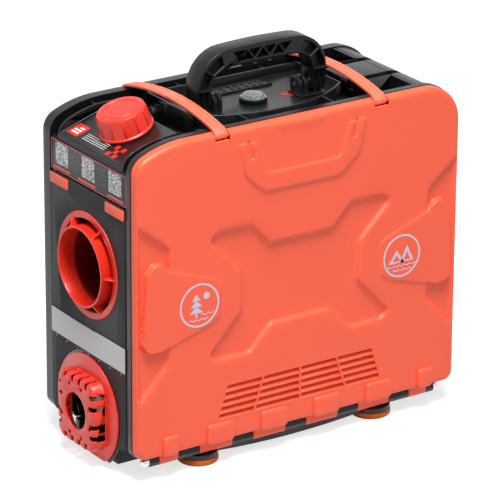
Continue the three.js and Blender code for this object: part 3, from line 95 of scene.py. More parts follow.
def mixed(tree, factor, a, b):
    """Colour socket going from colour or socket a to b; the factor is a number or a socket."""
    mix = tree.nodes.new("ShaderNodeMix")
    mix.data_type = "RGBA"
    sockets = {s.identifier: s for s in mix.inputs}
    for value, key in ((factor, "Factor_Float"), (a, "A_Color"), (b, "B_Color")):
        if isinstance(value, bpy.types.NodeSocket):
            tree.links.new(value, sockets[key])
        else:
            sockets[key].default_value = value
    return next(s for s in mix.outputs if s.identifier == "Result_Color")


def plastic(name, code, rough, grain=900, bump=0.05, spread=0.06, metal=0.0, specular=0.5):
    """Moulded surface: fine grain, faint cloudy colour and roughness change."""
    material = bpy.data.materials.new(name)
    material.use_nodes = True
    tree = material.node_tree
    shader = tree.nodes["Principled BSDF"]
    place = tree.nodes.new("ShaderNodeNewGeometry").outputs["Position"]
    cloud = tree.nodes.new("ShaderNodeTexNoise")
    cloud.inputs["Scale"].default_value = CLOUD_SCALE
    cloud.inputs["Detail"].default_value = 3
    tree.links.new(place, cloud.inputs["Vector"])
    fine = tree.nodes.new("ShaderNodeTexNoise")
    fine.inputs["Scale"].default_value = grain
    fine.inputs["Detail"].default_value = 2
    tree.links.new(place, fine.inputs["Vector"])
    base = srgb(code)
    light = [min(1, c * (1 + spread)) for c in base[:3]] + [1]
    dark = [c * (1 - spread) for c in base[:3]] + [1]
    tree.links.new(mixed(tree, cloud.outputs["Fac"], dark, light), shader.inputs["Base Color"])
    tree.links.new(ramp(tree, fine.outputs["Fac"], rough * 0.85, rough * 1.15), shader.inputs["Roughness"])
    shader.inputs["Metallic"].default_value = metal
    shader.inputs["Specular IOR Level"].default_value = specular
    relief = tree.nodes.new("ShaderNodeBump")
    relief.inputs["Strength"].default_value = bump
    relief.inputs["Distance"].default_value = GRAIN_HEIGHT
    tree.links.new(fine.outputs["Fac"], relief.inputs["Height"])
    tree.links.new(relief.outputs["Normal"], shader.inputs["Normal"])
    return material


def glass(name, tint):
    """Clear plastic."""
    material = plastic(name, tint, 0.05, bump=0.01, spread=0.01)
    material.node_tree.nodes["Principled BSDF"].inputs["Transmission Weight"].default_value = 0.9
    return material


def code_blocks(name):
    """Pale film with generic darker blocks."""
    material = plastic(name, "#DADADA", 0.45, bump=0.02, spread=0.02)
    tree = material.node_tree
    shader = tree.nodes["Principled BSDF"]
    place = tree.nodes.new("ShaderNodeNewGeometry").outputs["Position"]
    cell = tree.nodes.new("ShaderNodeVectorMath")
    cell.operation = "SNAP"
    cell.inputs[1].default_value = (0.01, BLOCK_SIDE, BLOCK_SIDE)
    tree.links.new(place, cell.inputs[0])
    chance = tree.nodes.new("ShaderNodeTexWhiteNoise")
    tree.links.new(cell.outputs[0], chance.inputs["Vector"])
    block = tree.nodes.new("ShaderNodeMath")
    block.operation = "GREATER_THAN"
    block.inputs[1].default_value = 0.56
    tree.links.new(chance.outputs["Value"], block.inputs[0])
    paper = shader.inputs["Base Color"].links[0].from_socket
    tree.links.new(mixed(tree, block.outputs[0], paper, srgb("#6A6A6C")), shader.inputs["Base Color"])
    return material


BLOCK_SIDE = 0.0014
MATERIALS = {
    "red": plastic("red_plastic", "#F75D3C", 0.45, bump=0.04, spread=0.02),
    # painted shade: dark red for the shaded gap above each louvre blade
    "painted_slit_shade": plastic("slit_shade", "#7A150C", 0.7, bump=0.02),
    "strap": plastic("strap_red", "#FA6E52", 0.42, bump=0.04, spread=0.02),
    "deep": plastic("deep_red", "#DE2A18", 0.28, bump=0.02, spread=0.02),
    "duct": plastic("duct_red", "#6A120C", 0.4, bump=0.02, spread=0.05, specular=0.25),
    "cap": plastic("cap_red", "#E23222", 0.34, bump=0.03, spread=0.02),
    "black": plastic("black_plastic", "#111213", 0.3, bump=0.06, specular=0.35),
    "satin": plastic("satin_black", "#141516", 0.32, bump=0.12, grain=700, specular=0.25),
    "charcoal": plastic("charcoal", "#29292A", 0.5, bump=1.0, grain=300, spread=0.12, specular=0.15),
    "label": plastic("label_black", "#232122", 0.34, bump=0.05, specular=0.25),
    "orange": plastic("orange_pad", "#D4691C", 0.75, bump=0.2, grain=600, spread=0.08),
    "silver": plastic("silver_film", "#C4C4C5", 0.4, bump=0.05, grain=500, spread=0.03),
    "chrome": plastic("chrome", "#D8D9DA", 0.14, bump=0.01, metal=1.0, spread=0.01),
    "steel": plastic("steel", "#8F9294", 0.3, bump=0.05, metal=1.0, spread=0.05),
    "alu": plastic("aluminium", "#B4B6B8", 0.38, bump=0.1, metal=1.0, spread=0.05),
    "blade": plastic("fan_plastic", "#CFC6CE", 0.3, bump=0.03, spread=0.04),
    "tank": plastic("tank_white", "#D6D2C6", 0.5, bump=0.1, spread=0.04),
    "rubber": plastic("rubber", "#1A1A1A", 0.75, bump=0.2),
    "green": plastic("compass_green", "#2F6B4C", 0.5, bump=0.02),
    "sticker": plastic("sticker_red", "#C8281A", 0.4, bump=0.02, spread=0.04),
    "white": plastic("print_white", "#D9D9D9", 0.5, bump=0.02, spread=0.02),
    "badge": plastic("badge_grey", "#C9C6D6", 0.45, bump=0.02, spread=0.02),
    "faint": plastic("print_faint", "#5E595C", 0.5, bump=0.02, spread=0.02),
    "pink": plastic("label_pink", "#D8574F", 0.45, bump=0.02, spread=0.05),
    "glass": glass("clear_dome", "#E6F2EC"),
    "code": code_blocks("code_blocks"),
}


def dress(node, key):
    """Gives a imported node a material."""
    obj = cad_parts[node]
    obj.data.materials.clear()
    obj.data.materials.append(MATERIALS[key])


# ---- outlines, in mm in the covers' own frame ----------------------------------------------
def unit(v):
    return v / np.linalg.norm(v)


def corner_at(corners, i):
    """Place and radius of a corner, the directions to its neighbours, half its angle and its turn."""
    here = np.array(corners[i][:2], float)
    before = unit(np.array(corners[i - 1][:2], float) - here)
    after = unit(np.array(corners[(i + 1) % len(corners)][:2], float) - here)
    half = math.acos(np.clip(before @ after, -1, 1)) / 2
    turn = np.sign(after[0] * before[1] - after[1] * before[0])
    return here, corners[i][2], before, after, half, turn


def border(corners, step):
    """Points and outward directions of an outline of [a, b, radius] corners, counter-clockwise."""
    points, outs = [], []
    for i in range(len(corners)):
        here, radius, before, after, half, turn = corner_at(corners, i)
        bisector = unit(before + after)
        if radius <= 0:
            points.append(here)
            outs.append(-bisector * turn / math.sin(half))
            continue
        centre = here + bisector * radius / math.sin(half)
        arm = here + before * radius / math.tan(half) - centre
        sweep = turn * (math.pi - 2 * half)
        steps = max(3, math.ceil(abs(sweep) * radius / step))
        for k in range(steps + 1):
            t = sweep * k / steps
            spin = np.array([[math.cos(t), -math.sin(t)], [math.sin(t), math.cos(t)]])
            points.append(centre + spin @ arm)
            outs.append(turn * (spin @ arm) / radius)
    keep = [i for i in range(len(points))
            if np.linalg.norm(points[i] - points[(i + 1) % len(points)]) > 0.05]
    return np.array([points[i] for i in keep]), np.array([outs[i] for i in keep])


def inset(corners, d):
    """The rounded corner list moved inwards by d."""
    found = []
    for i in range(len(corners)):
        here, radius, before, after, half, turn = corner_at(corners, i)
        spot = here + unit(before + after) * turn * d / math.sin(half)
        found.append((spot[0], spot[1], max(0.5, radius - turn * d)))
    return found


def mirrored(corners):
    """The corner list mirrored to the other end of the cover."""
    return [(-a, b, r) for a, b, r in reversed(corners)]


def rect(a0, a1, b0, b1, r):
    return [(a0, b0, r), (a1, b0, r), (a1, b1, r), (a0, b1, r)]


def rounded(corners, step=2.0):
    return border(corners, step)[0]


def resampled(points, spacing):
    """Extra points on long straight stretches of a closed outline."""
    found = []
    for a, b in zip(points, np.roll(points, -1, axis=0)):
        parts = max(1, int(np.linalg.norm(b - a) / spacing))
        for k in range(parts):
            found.append(a + (b - a) * k / parts)
    return np.array(found)


def signed_distance(points, polygon):
    """Distance of many points to a polygon's edge, negative inside."""
    p = points[:, None, :]
    a = polygon[None, :, :]
    b = np.roll(polygon, -1, axis=0)[None, :, :]
    ab = b - a
    t = np.clip(((p - a) * ab).sum(2) / (ab ** 2).sum(2), 0, 1)
    d = np.linalg.norm(p - (a + ab * t[..., None]), axis=2).min(1)
    crosses = ((a[..., 1] > p[..., 1]) != (b[..., 1] > p[..., 1]))
    span = np.where(b[..., 1] - a[..., 1] == 0, 1e-9, b[..., 1] - a[..., 1])
    at = a[..., 0] + (p[..., 1] - a[..., 1]) / span * (b[..., 0] - a[..., 0])
    inside = (crosses & (p[..., 0] < at)).sum(1) % 2 == 1
    return np.where(inside, -d, d)


def smooth(t):
    t = np.clip(t, 0, 1)
    return t * t * (3 - 2 * t)


# ---- meshes -------------------------------------------------------------------------------
def mesh_object(name, vertices, faces):
    """vertices in mm in the covers' own frame."""
    spots = np.asarray(vertices, float) * MM
    spots[:, 0] += SHIFT_X * MM
    mesh = bpy.data.meshes.new(name)
    mesh.from_pydata(spots.tolist(), [], [tuple(int(i) for i in f) for f in faces])
    mesh.update()
    obj = bpy.data.objects.new(name, mesh)
    scene.collection.objects.link(obj)
    return obj


AXES = {"x": (1, 2, 0), "y": (0, 2, 1), "z": (0, 1, 2)}       # outline's two axes, and the pushed one


def prism(axis, outline, low, high):
    """An outline in the two other axes pushed along the axis."""
    a, b, c = AXES[axis]
    outline = np.asarray(outline, float)
    count = len(outline)
    spots = np.zeros((2 * count, 3))
    spots[:, a] = np.tile(outline[:, 0], 2)
    spots[:, b] = np.tile(outline[:, 1], 2)
    spots[:count, c] = low
    spots[count:, c] = high
    caps = mgeo.tessellate_polygon([[Vector((p[0], p[1], 0)) for p in outline]])
    faces = [tuple(reversed(f)) for f in caps] + [tuple(count + i for i in f) for f in caps]
    faces += [(k, (k + 1) % count, count + (k + 1) % count, count + k) for k in range(count)]
    obj = mesh_object("prism", spots, faces)
    outward(obj)
    return obj


def outward(obj):
    """Joins vertices that meet and turns all faces outwards."""
    work = bmesh.new()
    work.from_mesh(obj.data)
    bmesh.ops.remove_doubles(work, verts=work.verts, dist=1e-6)
    bmesh.ops.dissolve_degenerate(work, edges=work.edges, dist=1e-7)
    bmesh.ops.recalc_face_normals(work, faces=work.faces)
    work.to_mesh(obj.data)
    work.free()


def box(x0, x1, y0, y1, z0, z1):
    return prism("z", [(x0, y0), (x1, y0), (x1, y1), (x0, y1)], z0, z1)


def turned(profile, origin, direction, sides):
    """A closed profile of (radius, height) turned about an axis."""
    aim = Vector(direction).normalized()
    spin = Vector((0, 0, 1)).rotation_difference(aim).to_matrix()
    spots, faces = [], []
    count = len(profile)
    for k in range(sides):
        angle = 2 * math.pi * k / sides
        for r, h in profile:
            spots.append(tuple(spin @ Vector((r * math.cos(angle), r * math.sin(angle), h))
                               + Vector(origin)))
    for k in range(sides):
        for i in range(count):
            j = (i + 1) % count
            m = (k + 1) % sides
            faces.append((k * count + i, m * count + i, m * count + j, k * count + j))
    obj = mesh_object("turned", spots, faces)
    outward(obj)
    return obj


def rod(radius, start, end, sides):
    """A round bar between two points."""
    along = Vector(end) - Vector(start)
    return turned([(0, 0), (radius, 0), (radius, along.length), (0, along.length)], start, along, sides)


def loft(corners, levels, step):
    """Solid through one outline in X and Z, at each (y, inset)."""
    points, outs = border(corners, step)
    count = len(points)
    spots = []
    for y, d in levels:
        ring = points - outs * d
        spots += [(a, y, b) for a, b in ring]
    caps = mgeo.tessellate_polygon([[Vector((p[0], p[1], 0)) for p in points]])
    last = (len(levels) - 1) * count
    faces = [tuple(f) for f in caps] + [tuple(last + i for i in reversed(f)) for f in caps]
    for level in range(len(levels) - 1):
        for k in range(count):
            a = level * count + k
            b = level * count + (k + 1) % count
            faces.append((a, b, b + count, a + count))
    obj = mesh_object("loft", spots, faces)
    outward(obj)
    return obj


def applied(obj):
    """Puts the result of the modifiers into the mesh and takes them off."""
    bpy.context.view_layer.update()
    graph = bpy.context.evaluated_depsgraph_get()
    result = bpy.data.meshes.new_from_object(obj.evaluated_get(graph))
    obj.modifiers.clear()
    old = obj.data
    obj.data = result
    bpy.data.meshes.remove(old)
    return obj


def boolean(target, tools, operation="DIFFERENCE"):
    """Applies the tools to the target and removes them."""
    for tool in tools:
        modifier = target.modifiers.new("cut", "BOOLEAN")
        modifier.operation = operation
        modifier.solver = "MANIFOLD"
        modifier.object = tool
    applied(target)
    for tool in tools:
        bpy.data.objects.remove(tool)
    return target


def edged(obj, width, segments=2):
    """Rounds the hard edges by width mm."""
    modifier = obj.modifiers.new("round", "BEVEL")
    modifier.width = width * MM
    modifier.segments = segments
    modifier.limit_method = "ANGLE"
    modifier.angle_limit = math.radians(35)
    modifier.use_clamp_overlap = True
    return applied(obj)


def joined_meshes(objs):
    """One object of several meshes laid together."""
    work = bmesh.new()
    for obj in objs:
        work.from_mesh(obj.data)
    mesh = bpy.data.meshes.new("joined")
    work.to_mesh(mesh)
    work.free()
    for obj in objs:
        bpy.data.objects.remove(obj)
    result = bpy.data.objects.new("joined", mesh)
    scene.collection.objects.link(result)
    return result


def transformed(obj, matrix, offset=(0, 0, 0)):
    """Turns the mesh about the covers' origin and then moves it by the offset in mm."""
    origin = Vector((SHIFT_X * MM, 0, 0))
    for vertex in obj.data.vertices:
        vertex.co = matrix @ (vertex.co - origin) + origin + Vector(offset) * MM
    return obj


def shade(obj, angle):
    """Smooth faces with sharp edges beyond the angle in degrees."""
    for face in obj.data.polygons:
        face.use_smooth = True
    obj.data.set_sharp_from_angle(angle=math.radians(angle))


def piece(obj, name, body, key, replaces=(), angle=32):
    """Names and dresses a new piece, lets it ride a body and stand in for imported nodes."""
    obj.name = name
    obj.data.name = name
    obj.data.materials.clear()
    obj.data.materials.append(MATERIALS[key])
    shade(obj, angle)
    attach(obj, body)
    if replaces:
        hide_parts(*replaces)
    return obj


def copy_mirrored_y(obj, name):
    """The same piece for the other side of the case."""
    twin = obj.copy()
    twin.data = obj.data.copy()
    scene.collection.objects.link(twin)
    for vertex in twin.data.vertices:
        vertex.co.y = -vertex.co.y
    twin.data.flip_normals()
    twin.name = name
    return twin


# ---- covers -------------------------------------------------------------------------------
RIM_OUTLINE = [(-211, 27, 13), (211, 27, 13), (211, 383, 45), (-172.5, 383, 128), (-211, 365.5, 22)]
COVER = inset(RIM_OUTLINE, 1)
FACE = -96.5             # Y of the cover's main plane
BACK = -84.8             # Y of its edge towards the case
INNER = -90.6            # Y of its inner face
WALL = 3.5
EDGE = 5.5               # radius of the face's rounded edge
CHEEK = [(170, 135.5, 12), (204, 98.5, 12), (230, 88, 0), (230, 313, 0), (170, 265.5, 16)]
X_LEFT = [(0, 246, 0), (-41, 246, 8), (-66, 271.5, 8), (-107, 271.5, 10), (-119, 264, 6), (-77, 222.5, 8),
          (-76, 177, 8), (-119, 131, 6), (-107, 124.5, 6), (-66, 124, 8), (-38.5, 152, 8), (0, 152, 0)]
POD = [(104, 214.5, 5), (106, 177, 5), (116, 169.5, 8), (168, 154.5, 14), (182, 150.5, 8), (196, 151.5, 8),
       (203, 160, 5), (198, 240, 6), (189, 251.5, 6), (178, 249.5, 5), (168, 239.5, 8), (114, 221, 8)]
BAND = [(-83, 366.5, 3), (-74, 328, 20), (-50, 306.5, 16), (50, 306.5, 16), (74, 328, 20), (83, 366.5, 3),
        (60, 364, 3), (49, 327, 8), (-49, 327, 8), (-60, 364, 3)]
SLOT = [(63.2, 346, 2.4), (68.2, 346, 2.4), (73.2, 366, 2.4), (68.2, 366, 2.4)]
BUMPS = [(-169, 20), (-105, 35), (-35, 35), (35, 35), (105, 35), (169, 20)]
SINK_SLOPE = 4.8         # width of the slopes round the sunk shapes
CHEEK_DEPTH = 5.2
CROSS_DEPTH = 4.9
SLOT_DEPTH = 2.2
POD_RISE = 1.5
BAND_RISE = 2.2
CREST = {"half": 32, "side_slope": 6, "low": 372, "low_slope": 2, "rise": 0.8}
LOUVRE_EDGES = [-109, -61, 0, 61, 109]
LOUVRE = {"rows": 5, "low": 53.4, "pitch": 8, "high": 6.8, "lean": 13 / 40, "bar": 1.2, "depth": 5}
LOUVRE_AREA = [(-125, 51), (125, 51), (105, 95), (-105, 95)]


def cross_outline():
    """The whole cross from its left half."""
    left = [c for c in X_LEFT if c[0] != 0]
    return [(-a, b, r) for a, b, r in reversed(left)] + left


def louvre_cells():
    """(low, high, ends) of each cell, with the X of both ends at its low and high edge."""
    cells = []
    for row in range(LOUVRE["rows"]):
        low = LOUVRE["low"] + row * LOUVRE["pitch"]
        high = low + LOUVRE["high"]
        for left, right in zip(LOUVRE_EDGES, LOUVRE_EDGES[1:]):
            ends = []
            for z in (low, high):
                lean = LOUVRE["lean"] * (z - LOUVRE["low"])
                ends.append((left - np.sign(left) * lean + LOUVRE["bar"],
                             right - np.sign(right) * lean - LOUVRE["bar"]))
            cells.append((low, high, ends))
    return cells


def height_features():
    """(kind, polygon, rise, slope width) of every raised or sunk shape on a cover."""
    found = []
    for corners in (CHEEK, mirrored(CHEEK)):
        found.append(("add", resampled(rounded(corners), 3), -CHEEK_DEPTH, SINK_SLOPE))
    found.append(("add", resampled(rounded(cross_outline()), 3), -CROSS_DEPTH, SINK_SLOPE))
    for corners in (POD, mirrored(POD)):
        found.append(("level", resampled(rounded(corners), 3), POD_RISE, 2.2))
    found.append(("add", resampled(rounded(BAND), 3), BAND_RISE, 2.8))
    for corners in (SLOT, mirrored(SLOT)):
        found.append(("add", resampled(rounded(corners, 0.8), 2), -SLOT_DEPTH, 2.0))
    return found


def cover_height(points, features):
    """Height of the face above the main plane, in mm, at each (x, z)."""
    x, z = points.T
    height = np.zeros(len(points))
    for kind, polygon, rise, width in features:
        near = ((points > polygon.min(0) - 8) & (points < polygon.max(0) + 8)).all(1)
        t = smooth(0.5 - signed_distance(points[near], polygon) / width)
        kept = 1 if kind == "add" else 1 - t
        height[near] = height[near] * kept + rise * t
    side = smooth((CREST["half"] - np.abs(x)) / CREST["side_slope"])
    height += CREST["rise"] * side * smooth((z - CREST["low"]) / CREST["low_slope"])
    for low, high, ends in louvre_cells():
        t = np.clip((z - low) / (high - low), 0, 1)
        x0 = ends[0][0] + (ends[1][0] - ends[0][0]) * t
        x1 = ends[0][1] + (ends[1][1] - ends[0][1]) * t
        inside = (z > low + 0.1) & (z < high - 0.1) & (x > x0 + 0.1) & (x < x1 - 0.1)
        height[inside] = -LOUVRE["depth"]
    return height


def relief_points(features, outline):
    """Points along the slopes of the relief, and a plain grid between them, clear of edge and louvres."""
    guides = []
    for _, polygon, _, width in features:
        spaced = resampled(polygon, 2.4)
        tangent = np.roll(spaced, -1, axis=0) - np.roll(spaced, 1, axis=0)
        tangent /= np.linalg.norm(tangent, axis=1)[:, None] + 1e-9
        side = np.stack([tangent[:, 1], -tangent[:, 0]], axis=1)
        guides += [spaced + side * f * width for f in (-0.62, -0.3, 0, 0.3, 0.62)]
    grid = np.stack(np.meshgrid(np.arange(-204, 205, 6.0), np.arange(34, 380, 6.0)), axis=-1).reshape(-1, 2)
    crest = [(sign * x, z) for sign in (-1, 1) for x in (25.5, 27.5, 29.5, 31.5, 33)
             for z in (370, 372, 373, 374, 376)]
    points = np.concatenate(guides + [grid, np.array(crest)])
    points = points[signed_distance(points, outline) < -EDGE - 2.7]
    return points[signed_distance(points, np.array(LOUVRE_AREA, float)) > 0]


def thinned(points, taken):
    """The taken points, and those others that have a half-millimetre cell to themselves."""
    found = list(taken)
    seen = {(round(x / 0.5), round(z / 0.5)) for x, z in taken}
    for x, z in points:
        key = (round(x / 0.5), round(z / 0.5))
        if key not in seen:
            seen.add(key)
            found.append((x, z))
    return found


def louvre_loops(first):
    """The two closed edge loops round every louvre cell, with their points counted from first."""
    points, edges = [], []
    for low, high, ends in louvre_cells():
        for d in (0, 0.3):
            start = first + len(points)
            points += [(ends[0][0] + d, low + d), (ends[0][1] - d, low + d),
                       (ends[1][1] - d, high - d), (ends[1][0] + d, high - d)]
            edges += [(start + k, start + (k + 1) % 4) for k in range(4)]
    return points, edges


def make_cover():
    """The front cover: a face with its relief and rounded edge, a side wall and a flat inner face."""
    outline, outs = border(COVER, 1.6)
    edge = resampled(outline, 3)
    normals = np.array([outs[np.argmin(((outline - p) ** 2).sum(1))] for p in edge])
    features = height_features()
    insets = [EDGE * (1 - math.cos(math.pi / 2 * k / 6)) for k in range(7)] + [EDGE + 2]
    rings = [edge - normals * d for d in insets]
    wanted = thinned(relief_points(features, outline), [tuple(p) for ring in rings for p in ring])
    loops, loop_edges = louvre_loops(len(wanted))
    found = mgeo.delaunay_2d_cdt([Vector(p) for p in wanted + loops], loop_edges, [], 0, 1e-4)
    spots = np.array([tuple(s) for s in found[0]])
    faces = [tuple(f) for f in found[2] if signed_distance(spots[list(f)].mean(0)[None], outline)[0] < 0.01]
    inside = signed_distance(spots, outline)
    depth = np.clip(-inside, 0, EDGE)
    fall = EDGE - np.sqrt(np.clip(EDGE ** 2 - (EDGE - depth) ** 2, 0, None))
    face_y = FACE + fall - cover_height(spots, features) * smooth((-inside - 0.5) / 6)
    vertices = [(x, y, z) for (x, z), y in zip(spots, face_y)]

    outer = [int(np.argmin(((spots - p) ** 2).sum(1))) for p in edge]
    inner = edge - normals * WALL
    loops = [outer]
    for ring, y in ((spots[outer], BACK), (inner, BACK), (inner, INNER)):
        loops.append(list(range(len(vertices), len(vertices) + len(ring))))
        vertices += [(x, y, z) for x, z in ring]
    for near, far in zip(loops, loops[1:]):
        for k in range(len(near)):
            m = (k + 1) % len(near)
            faces.append((near[k], near[m], far[m], far[k]))
    caps = mgeo.tessellate_polygon([[Vector((x, z, 0)) for x, z in inner]])
    faces += [tuple(loops[-1][i] for i in f) for f in caps]
    obj = mesh_object("front_cover_shell", vertices, faces)
    outward(obj)
    return obj


# ---- stage --------------------------------------------------------------------------------
FLOOR_HALF = 9
FLOOR_GREY = 0.5
FLOOR_GLOW = 0.72        # seen by the background's rays only
SKY_LIGHT = 0.13
AIM = (0, 0, 0.2)
LIGHTS = [("key", (-0.9, -2.2, 2.4), 1.1, 12),          # name, place, width and watts
          ("top", (-0.5, -0.9, 3.0), 1.3, 138),
          ("left", (-2.8, 0.5, 1.2), 1.2, 4)]


def area_light(name, place, size, power):
    data = bpy.data.lights.new(name, "AREA")
    data.shape = "DISK"
    data.size = size
    data.energy = power
    lamp = bpy.data.objects.new(name, data)
    scene.collection.objects.link(lamp)
    lamp.location = place
    lamp.rotation_euler = (Vector(AIM) - Vector(place)).to_track_quat("-Z", "Y").to_euler()


def background_rays(tree):
    """1 for the rays that show the background itself, 0 for the rays that light the object."""
    path = tree.nodes.new("ShaderNodeLightPath")
    total = path.outputs["Is Camera Ray"]
    for name in ("Is Glossy Ray", "Is Transmission Ray"):
        added = tree.nodes.new("ShaderNodeMath")
        added.operation = "MAXIMUM"
        tree.links.new(total, added.inputs[0])
        tree.links.new(path.outputs[name], added.inputs[1])
        total = added.outputs[0]
    return total


def make_floor():
    h = FLOOR_HALF
    mesh = bpy.data.meshes.new("floor")
    mesh.from_pydata([(-h, -h, 0), (h, -h, 0), (h, h, 0), (-h, h, 0)], [], [(0, 1, 2, 3)])
    floor = bpy.data.objects.new("floor", mesh)
    scene.collection.objects.link(floor)
    material = bpy.data.materials.new("pale_floor")
    material.use_nodes = True
    tree = material.node_tree
    shader = tree.nodes["Principled BSDF"]
    shader.inputs["Base Color"].default_value = (FLOOR_GREY, FLOOR_GREY, FLOOR_GREY, 1)
    shader.inputs["Roughness"].default_value = 0.8
    shader.inputs["Specular IOR Level"].default_value = 0.1
    shader.inputs["Emission Color"].default_value = (1, 1, 1, 1)
    tree.links.new(ramp(tree, background_rays(tree), 0.0, FLOOR_GLOW), shader.inputs["Emission Strength"])
    mesh.materials.append(material)


def make_stage():
    """Pale floor, white surroundings and three soft lights."""
    scene.view_settings.view_transform = "Standard"
    make_floor()
    world = bpy.data.worlds.new("studio")
    world.use_nodes = True
    tree = world.node_tree
    sky = tree.nodes["Background"]
    sky.inputs["Color"].default_value = (1, 1, 1, 1)
    tree.links.new(ramp(tree, background_rays(tree), SKY_LIGHT, 1.0), sky.inputs["Strength"])
    scene.world = world
    for light in LIGHTS:
        area_light(*light)


make_camera()
make_stage()


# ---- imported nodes, dressed ------------------------------------------------------------------
FOOT_BASES = ["foot_base_" + where + "_" + side for where in ("front", "rear") for side in ("left", "right")]
DRESSING = {
    "black": ["main_frame", "top_deck", "bottom_pan", "intake_ring", "heater_jacket"] + FOOT_BASES,
    "satin": ["carry_handle", "handle_bracket_left", "handle_bracket_right", "compass_housing"],
    "charcoal": ["end_panel", "control_unit"],
    "label": ["label_plate"],
    "red": ["accent_tab_front", "accent_tab_rear"],
    "cap": ["intake_grille"],
    "chrome": ["front_hinge_pin", "rear_hinge_pin", "front_hinge_nut_left", "front_hinge_nut_right",
               "rear_hinge_nut_left", "rear_hinge_nut_right", "tank_breather"],
    "silver": ["reflector_strip"],
    "blade": ["fan_impeller"],
    "alu": ["heat_exchanger", "burner_fan"],
    "steel": ["fan_motor", "fan_shaft", "burner_chamber", "glow_plug", "exhaust_pipe", "fuel_pump",
              "handle_pin_left", "handle_pin_right"],
    "tank": ["fuel_tank"],
    "duct": ["air_duct"],
    "rubber": ["tank_hose", "pump_hose", "burner_hose", "cap_seal", "combustion_air_pipe"],
    "glass": ["fuel_filter", "compass_dome"],
    "green": ["compass_card"],
}
ROUNDING = {                # width in mm of the softened edges
    "top_deck": 0.6, "bottom_pan": 0.6, "carry_handle": 0.9, "end_panel": 0.5, "handle_bracket_left": 0.4,
    "handle_bracket_right": 0.4, "accent_tab_front": 0.3, "accent_tab_rear": 0.3, "intake_grille": 0.6,
    "label_plate": 0.2, "intake_ring": 0.5, "compass_housing": 0.4, "control_unit": 0.6,
} | dict.fromkeys(FOOT_BASES, 0.4)


def welded(obj):
    """Smooth faces that share their vertices."""
    for face in obj.data.polygons:
        face.use_smooth = True
    weld = obj.modifiers.new("weld", "WELD")
    weld.merge_threshold = 1e-6


def soften(obj, width):
    """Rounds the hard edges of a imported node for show.

    The two equal material slots keep flat faces from merging into rings, which would fill their holes."""
    obj.data.materials.append(obj.data.materials[0])
    middle = np.mean(obj.bound_box, axis=0)
    for face in obj.data.polygons:
        face.material_index = sum(face.center[k] > middle[k] for k in range(3)) % 2
    welded(obj)
    flat = obj.modifiers.new("flat", "DECIMATE")
    flat.decimate_type = "DISSOLVE"
    flat.delimit = {"MATERIAL"}
    flat.angle_limit = math.radians(0.6)
    bevel = obj.modifiers.new("round", "BEVEL")
    bevel.width = width * MM
    bevel.segments = 2
    bevel.limit_method = "ANGLE"
    bevel.angle_limit = math.radians(38)
    bevel.use_clamp_overlap = False
    bevel.harden_normals = True


def smooth_rounds(obj):
    """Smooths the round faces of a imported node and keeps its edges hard."""
    welded(obj)
    split = obj.modifiers.new("hard_edges", "EDGE_SPLIT")
    split.split_angle = math.radians(30)


for key, names in DRESSING.items():
    for name in names:
        dress(name, key)
for name, width in ROUNDING.items():
    soften(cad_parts[name], width)
smooth_rounds(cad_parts["main_frame"])


# ---- covers put together -------------------------------------------------------------------
STRAP_X = 103
TRUNNION = (-91.2, 377.5)           # Y and Z of the axis on which a strap hooks
NOTCH_HALF = 9.5
NOTCH_FLOOR = 370
NOTCH_BACK = -87.5
HINGE = (-83, 20)                   # Y and Z of the hinge pin
BARREL = 5.9
KNUCKLES = [(k * 70 + 14.1, (k + 1) * 70 - 14.1) for k in (-2, -1, 0, 1)]
KNUCKLES += [(-177.9, -154.1), (154.1, 177.9)]
BUMP_RISE = 3.8
LINING = [(-86, 368.8), (-95.6, 368.8), (-95.4, 372.4), (-94.7, 373.2), (-88.3, 373.2), (NOTCH_BACK, 374),
          (NOTCH_BACK, 378.5), (-86, 378.5)]


def bump(x, width):
    """One of the rounded bumps along the lower edge."""
    levels = [(-86, 0.0), (-97.0, 0.0)]
    for k in range(1, 7):
        angle = math.pi / 2 * k / 6
        levels.append((-97.0 - BUMP_RISE * math.sin(angle), BUMP_RISE * (1 - math.cos(angle))))
    return loft(rect(x - width / 2, x + width / 2, 28.4, 51.5, 4.5), levels, 1.0)


def knuckle(x0, x1):
    """A hinge barrel with the leaf that joins it to the cover."""
    y, z = HINGE
    barrel = rod(BARREL, (x0, y, z), (x1, y, z), 32)
    leaf = box(x0, x1, -89.4, -85.0, z, z + 14)
    return edged(boolean(barrel, [leaf], "UNION"), 0.5)


def notch_lining(x):
    """Floor, cheeks and trunnion bosses of a strap's notch."""
    y, z = TRUNNION
    found = [prism("x", LINING, x - NOTCH_HALF - 1, x + NOTCH_HALF + 1)]
    for side in (-1, 1):
        cheek = x + side * (NOTCH_HALF + 0.5)
        found.append(box(cheek - 0.5, cheek + 0.5, -95.0, -86, 369, 378.8))
        found.append(rod(2.6, (x + side * NOTCH_HALF, y, z), (x + side * (NOTCH_HALF + 1.5), y, z), 24))
    return found


def cover_solid():
    """The front cover with its bumps, hinge barrels, louvres, and notches for the straps."""
    shell = make_cover()
    boolean(shell, [box(x - NOTCH_HALF, x + NOTCH_HALF, -103, NOTCH_BACK, NOTCH_FLOOR, 400)
                    for x in (-STRAP_X, STRAP_X)])
    extras = [bump(x, width) for x, width in BUMPS] + [knuckle(x0, x1) for x0, x1 in KNUCKLES]
    for x in (-STRAP_X, STRAP_X):
        extras += notch_lining(x)
    return joined_meshes([shell, slats()] + extras)


def painted_slit_shades():
    """Painted shade: a dark sheet in the gap above the blade of each louvre cell, where the cell's shade
    falls.
    """
    found = []
    for _, high, ends in louvre_cells():
        x0, x1 = ends[1]
        found.append(box(x0 + 0.4, x1 - 0.4, -92.2, -91.2, high - 2.6, high - 0.35))
    return joined_meshes(found)


